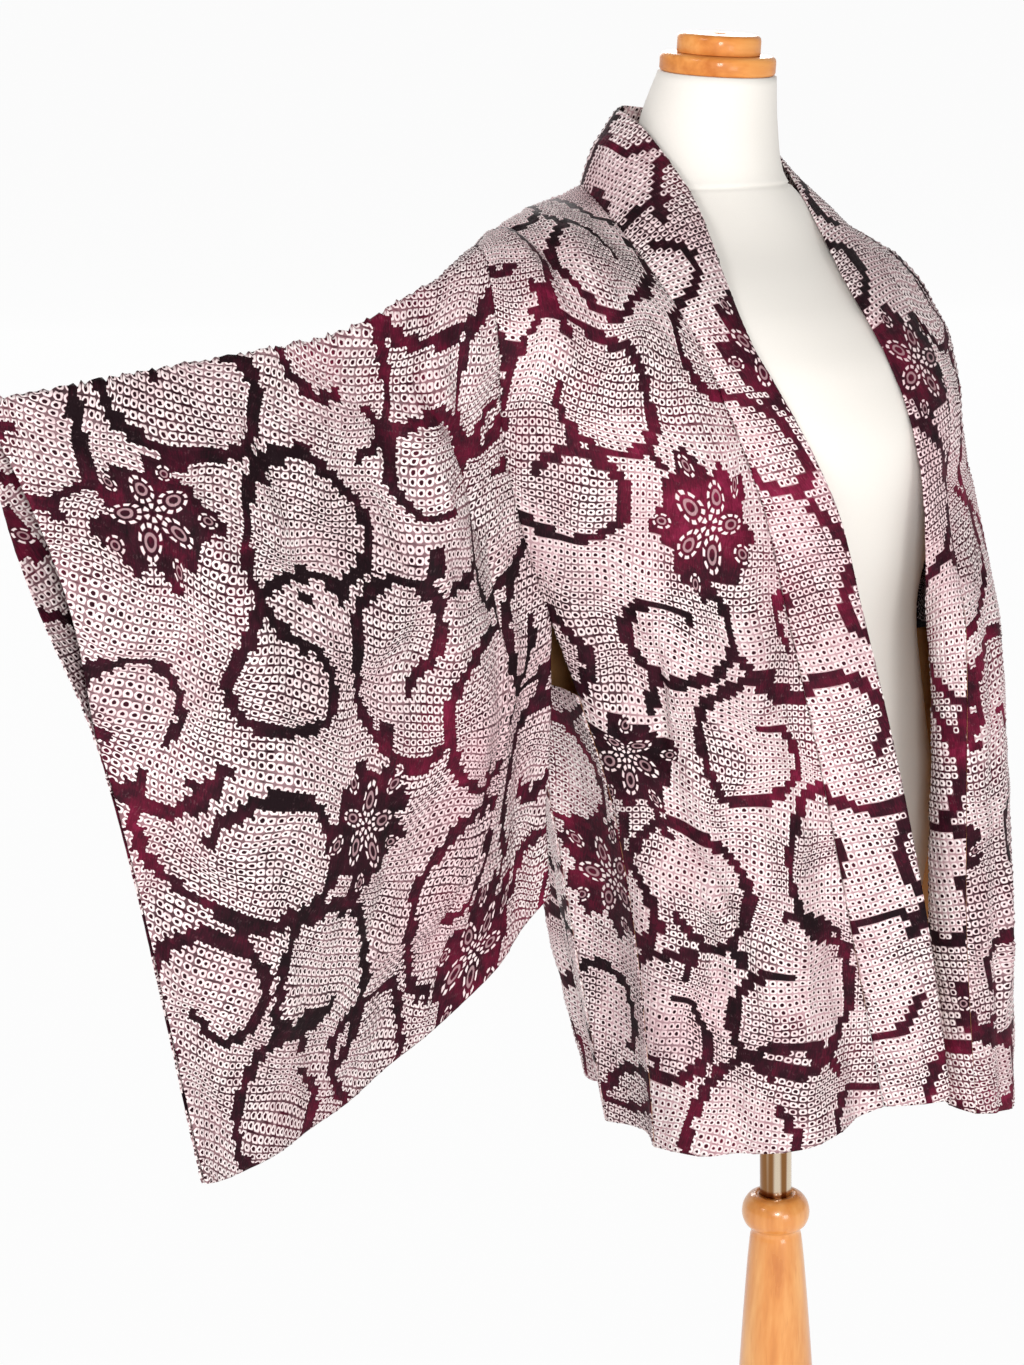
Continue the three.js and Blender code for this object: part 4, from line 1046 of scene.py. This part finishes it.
class HaoriCloth(bpy.types.PropertyGroup):
    pitch: bpy.props.FloatProperty(
        name="Knot Pitch", description="From one tied knot to the next, in mm",
        default=5.8, min=4.0, max=12.0)
    spacing: bpy.props.FloatProperty(
        name="Curl Spacing", description="From one curl of the vine to the next, in mm",
        default=124.0, min=80.0)
    dark: colour_setting("Darkest Dye", "16050b")
    plum: colour_setting("Plum Dye", "330a19")
    wine: colour_setting("Wine Dye", "5c0d27")
    rose: colour_setting("Rose Dye", "98234a")
    ground: colour_setting("Undyed Cloth", "f9f0ed")
    blush: colour_setting("Blush", "f3c6cd")
    # painted shade of the cloth, also the colour of the dye's bleed round the dyed places
    shadow: colour_setting("Shade and Bleed", "cba3a8")


class HaoriStand(bpy.types.PropertyGroup):
    dark_grain: colour_setting("Dark Grain", "bf6d2c")
    mid_grain: colour_setting("Grain", "dc8f47")
    light_grain: colour_setting("Light Grain", "efb068")
    sides: bpy.props.IntProperty(
        name="Turned Sides", description="Sides of a turned piece", default=96, min=24)


class HaoriStage(bpy.types.PropertyGroup):
    floor: colour_setting("Floor", "fbfbfb")
    lens: bpy.props.FloatProperty(
        name="Lens", description="Focal length in mm", default=75.8, unit="CAMERA")
    azimuth: angle_setting("Azimuth", "Camera's turn about the stand", -43)
    pitch: angle_setting("Pitch", "Camera's look downward", 12.4)
    roll: angle_setting("Roll", "Camera's tilt", -1.15)


# ---- operators ----
GRIDS = {}


def grids():
    """The coarse grids of all the cloth, worked out once."""
    if not GRIDS:
        right = body_panel(RIGHT_SECTIONS, RIGHT_FOLDS, -1, 11)
        left = body_panel(LEFT_SECTIONS, LEFT_FOLDS, 1, 12)
        GRIDS.update(
            body_right=right["grid"], body_left=left["grid"],
            gusset_right=gusset(right), gusset_left=gusset(left),
            sleeve_right=sleeve(right, SLEEVE_RIGHT_STATIONS, SLEEVE_RIGHT_FOLDS),
            sleeve_left=sleeve(left, SLEEVE_LEFT_STATIONS, SLEEVE_LEFT_FOLDS),
            collar=collar(right, left))
    return GRIDS


def place_cloth(node, drape, seed, bias=-14, phase=0.0, warp=3.0, creases=(),
                clear=False, lined=False):
    """Makes one piece of cloth, gives it its materials and hides the part it stands for."""
    piece = make_cloth(f"haori_{node}", drape, seed, bias, phase, warp, creases, clear, lined)
    finish, rows = ("drawn tied cloth", 0.75) if "sleeve" in node else ("tied cloth", 0.5)
    piece.data.materials.append(material_named(finish, cloth_material, rows))
    if lined:
        piece.data.materials.append(material_named("brown lining", lining_material))
    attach(piece, "root")
    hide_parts(node)


class HAORI_OT_body(bpy.types.Operator):
    """Right and left body panels, front and back in one over the shoulder"""

    bl_idname = "haori.body"
    bl_label = "Body Panels"

    def execute(self, context):
        for node, seed, bias, phase, creases in (
            ("body_right", 3, -14, 0.2, BODY_RIGHT_CREASES),
            ("body_left", 8, 10, 0.45, BODY_LEFT_CREASES),
        ):
            place_cloth(node, Drape(grids()[node]), seed, bias, phase, WIDE_WARP,
                        creases, clear=True, lined=True)
        return {"FINISHED"}


class HAORI_OT_gussets(bpy.types.Operator):
    """Side gussets between front and back"""

    bl_idname = "haori.gussets"
    bl_label = "Side Gussets"

    def execute(self, context):
        for node, body, seed in (("gusset_right", "body_right", 5), ("gusset_left", "body_left", 6)):
            place_cloth(node, Drape(grids()[node], rows=80, columns=24), seed, lined=True)
        return {"FINISHED"}


class HAORI_OT_sleeves(bpy.types.Operator):
    """Both sleeves, each one length of cloth folded along the top"""

    bl_idname = "haori.sleeves"
    bl_label = "Sleeves"

    def execute(self, context):
        for node, body, outward, seed, bias, creases in (
            ("sleeve_right", "body_right", -1, 2, 24, SLEEVE_RIGHT_CREASES),
            ("sleeve_left", "body_left", 1, 7, 14, SLEEVE_LEFT_CREASES),
        ):
            drape = Drape(grids()[node], outward, rows=260, columns=100)
            place_cloth(node, drape, seed, bias, 0.3, WIDE_WARP, creases)
        return {"FINISHED"}


class HAORI_OT_collar(bpy.types.Operator):
    """Collar band, one strip from hem to hem"""

    bl_idname = "haori.collar"
    bl_label = "Collar"

    def execute(self, context):
        drape = Drape(grids()["collar"], rows=420, columns=24)
        place_cloth("collar", drape, seed=4, bias=10, phase=0.1)
        return {"FINISHED"}


def shell(name, bm, material, node):
    """Finishes a bmesh as one smooth piece that stands for its node."""
    bmesh.ops.recalc_face_normals(bm, faces=bm.faces[:])
    piece = add_piece(name, bm)
    piece.data.materials.append(material)
    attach(piece, "root")
    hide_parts(node)


class HAORI_OT_form(bpy.types.Operator):
    """Limbless torso and neck, with the seam of its cover round the neck"""

    bl_idname = "haori.form"
    bl_label = "Dress Form"

    def execute(self, context):
        bm = bmesh.new()
        turn = bm.verts.layers.float.new("turn")
        ring = bmesh.ops.create_circle(bm, cap_ends=True, segments=FORM_SIDES, radius=1)["verts"]
        seam = NECK_SEAM_Z - COVER_SEAM_DROP
        heights = [z for z in np.arange(TORSO_BOTTOM_Z, NECK_TOP_Z, 9.0) if abs(z - seam) > 5]
        heights = sorted(heights + [NECK_TOP_Z] + [seam + step for step in (-4, -1.5, 0, 1.5, 4)])
        edges = bm.edges[:]
        for k, z in enumerate(heights):
            if k:
                made = bmesh.ops.extrude_edge_only(bm, edges=edges)["geom"]
                ring = [g for g in made if isinstance(g, bmesh.types.BMVert)]
                edges = [g for g in made if isinstance(g, bmesh.types.BMEdge)
                         and all(v in ring for v in g.verts)]
            half, depth, y = (float(a) for a in form_ring(z))
            dip = COVER_SEAM_DEPTH if abs(z - seam) < 0.1 else 0
            lean = NECK_TILT * float(smooth((z - NECK_SEAM_Z) / (NECK_TOP_Z - NECK_SEAM_Z)))
            for v in ring:
                around = v[turn] if k else math.atan2(v.co.y, v.co.x)
                v[turn] = around
                offset = (depth - dip) * math.sin(around)
                v.co = ((half - dip) * math.cos(around) * MM, (y + offset) * MM, (z + offset * lean) * MM)
        bmesh.ops.edgeloop_fill(bm, edges=edges)
        shell("form_torso_cover", bm, material_named("cream jersey", jersey_material), "form_torso")
        return {"FINISHED"}


def turned(profile, sides):
    """A turned piece from its profile of radius and height, in mm."""
    bm = bmesh.new()
    verts = [bm.verts.new((r * MM, 0, z * MM)) for r, z in profile]
    edges = [bm.edges.new(pair) for pair in zip(verts[:-1], verts[1:])]
    bmesh.ops.spin(bm, geom=verts + edges, cent=(0, 0, 0), axis=(0, 0, 1), angle=2 * math.pi, steps=sides,
                   use_merge=True)
    bmesh.ops.remove_doubles(bm, verts=bm.verts[:], dist=1e-6)
    return bm


def rounded(rows, samples):
    """A smoother profile through rows of radius and height."""
    at = np.linspace(0, len(rows) - 1, samples)
    return [tuple(map(float, p)) for p in through(rows, at)]


class HAORI_OT_stand(bpy.types.Operator):
    """Turned wooden base, column and cap, and the steel pole"""

    bl_idname = "haori.stand"
    bl_label = "Stand"

    def execute(self, context):
        sides = context.scene.haori_stand.sides
        upright = material_named(
            "upright grain", wood_material, (38.0, 38.0, 3.4), (500.0, 500.0, 22.0), 0.5, 0.24)
        level = material_named(
            "level grain", wood_material, (3.0, 34.0, 34.0), (22.0, 500.0, 500.0), 0.2, 0.45)
        steel = material_named("polished steel", steel_material)
        hole = POLE_R + SEAM_GAP
        column = [(0, COLUMN_Z)] + COLUMN_FOOT + rounded(COLUMN_SHAFT, 28)[1:] + rounded(COLUMN_BULB, 26)[1:]
        column += [(hole, COLUMN_BULB[-1][1]), (hole, SOCKET_FLOOR_Z), (0, SOCKET_FLOOR_Z)]
        shell("stand_column_turned", turned(column, sides), upright, "stand_column")
        base = BASE_EDGE + rounded(BASE_TOP, 10)[1:] + [(0, BASE_H)]
        shell("stand_base_turned", turned(base, sides), level, "stand_base")
        low, high = SOCKET_FLOOR_Z + SEAM_GAP, TORSO_BOTTOM_Z - SEAM_GAP
        inner_r, low_edge, high_edge = POLE_R - POLE_ROUND, low + POLE_ROUND, high - POLE_ROUND
        rod = [(0, low), (inner_r, low), (POLE_R, low_edge), (POLE_R, high_edge), (inner_r, high), (0, high)]
        shell("pole_rod", turned(rod, POLE_SIDES), steel, "pole")
        neck_y = float(form_ring(NECK_TOP_Z)[2])
        lean = Matrix.Rotation(math.atan(NECK_TILT), 4, "X")
        lean = Matrix.Translation((0, neck_y * MM, NECK_TOP_Z * MM)) @ lean
        for node, profile, lift in (
            ("cap_lower", LOWER_CAP, SEAM_GAP), ("cap_upper", UPPER_CAP, CAP_H + 2 * SEAM_GAP),
        ):
            bm = turned([(r, z + lift) for r, z in profile], sides)
            bmesh.ops.transform(bm, matrix=lean, verts=bm.verts[:])
            shell(f"{node}_turned", bm, level, node)
        return {"FINISHED"}


class HAORI_OT_stage(bpy.types.Operator):
    """Pale floor, soft light and camera"""

    bl_idname = "haori.stage"
    bl_label = "Stage"

    def execute(self, context):
        self.floor(context.scene.haori_stage)
        self.light(context.scene)
        self.camera(context.scene, context.scene.haori_stage)
        return {"FINISHED"}

    def floor(self, look):
        """A floor that bends up into a backdrop, behind the object as the camera sees it."""
        bm = bmesh.new()
        bend, far, half = 3.0, 14.0, 22.0
        turns = [k * math.pi / 24 for k in range(13)]
        arc = [(far + bend * math.sin(turn), bend - bend * math.cos(turn)) for turn in turns]
        line = [(-12.0, 0.0)] + arc + [(far + bend, 16.0)]
        away = Vector((-math.sin(look.azimuth), math.cos(look.azimuth), 0))
        aside = Vector((math.cos(look.azimuth), math.sin(look.azimuth), 0))
        verts = [bm.verts.new(away * x + Vector((0, 0, z)) - aside * half) for x, z in line]
        edges = [bm.edges.new(pair) for pair in zip(verts[:-1], verts[1:])]
        made = bmesh.ops.extrude_edge_only(bm, edges=edges)["geom"]
        moved = [g for g in made if isinstance(g, bmesh.types.BMVert)]
        bmesh.ops.translate(bm, vec=aside * half * 2, verts=moved)
        floor = add_piece("floor", bm)
        material, _, shader = new_material("pale floor", Roughness=0.9, Specular_IOR_Level=0.1)
        shader["Base Color"].default_value = (0, 0, 0, 1)
        shader["Emission Color"].default_value = rgb(look.floor)
        shader["Emission Strength"].default_value = 1.0
        floor.data.materials.append(material)

    def light(self, scene):
        """Soft lamps, and a pale world that is dimmer to the object than to the camera."""
        world = bpy.data.worlds.new("studio")
        world.use_nodes = True
        n = Nodes(world.node_tree)
        background = world.node_tree.nodes["Background"].inputs
        background["Color"].default_value = rgb(scene.haori_stage.floor)
        seen = n.value("ShaderNodeLightPath", out="Is Camera Ray")
        n.put(n.step(seen, 0.0, 1.0, 0.32, 1.0), background["Strength"])
        scene.world = world
        for name, place, aim, size, power in LAMPS:
            light = bpy.data.lights.new(name, "AREA")
            light.size = size
            light.energy = power
            lamp = bpy.data.objects.new(name, light)
            lamp.location = place
            lamp.rotation_euler = (Vector(aim) - Vector(place)).to_track_quat("-Z", "Y").to_euler()
            scene.collection.objects.link(lamp)

    def camera(self, scene, look):
        data = bpy.data.cameras.new("camera")
        data.lens = look.lens
        data.sensor_width = 36
        data.clip_start, data.clip_end = 0.1, 100
        camera = bpy.data.objects.new("camera", data)
        scene.collection.objects.link(camera)
        turn = Matrix.Rotation(look.azimuth, 4, "Z") @ Matrix.Rotation(math.pi / 2 - look.pitch, 4, "X")
        turn = turn @ Matrix.Rotation(look.roll, 4, "Z")
        camera.matrix_world = Matrix.Translation(CAMERA_PLACE) @ turn
        scene.camera = camera
        scene.view_settings.view_transform = "Standard"


class HAORI_PT_sidebar(bpy.types.Panel):
    bl_idname = "HAORI_PT_sidebar"
    bl_label = "Haori"
    bl_space_type = "VIEW_3D"
    bl_region_type = "UI"
    bl_category = "Haori"

    def draw(self, context):
        for operator in OPERATORS:
            self.layout.operator(operator.bl_idname)
        for group_name, _ in SETTINGS:
            settings = getattr(context.scene, group_name)
            for name in settings.bl_rna.properties.keys():
                if name not in ("rna_type", "name"):
                    self.layout.prop(settings, name)


SETTINGS = (("haori_cloth", HaoriCloth), ("haori_stand", HaoriStand), ("haori_stage", HaoriStage))
OPERATORS = (HAORI_OT_form, HAORI_OT_stand, HAORI_OT_body, HAORI_OT_gussets, HAORI_OT_sleeves,
             HAORI_OT_collar, HAORI_OT_stage)


def register():
    for name, kind in SETTINGS:
        bpy.utils.register_class(kind)
        setattr(bpy.types.Scene, name, bpy.props.PointerProperty(type=kind))
    for kind in OPERATORS + (HAORI_PT_sidebar,):
        bpy.utils.register_class(kind)


def unregister():
    for kind in (HAORI_PT_sidebar,) + OPERATORS[::-1]:
        bpy.utils.unregister_class(kind)
    for name, kind in SETTINGS[::-1]:
        delattr(bpy.types.Scene, name)
        bpy.utils.unregister_class(kind)


def main():
    register()
    bpy.ops.haori.form()
    bpy.ops.haori.stand()
    bpy.ops.haori.body()
    bpy.ops.haori.gussets()
    bpy.ops.haori.sleeves()
    bpy.ops.haori.collar()
    bpy.ops.haori.stage()
    bpy.context.view_layer.update()


if __name__ == "__main__":
    main()
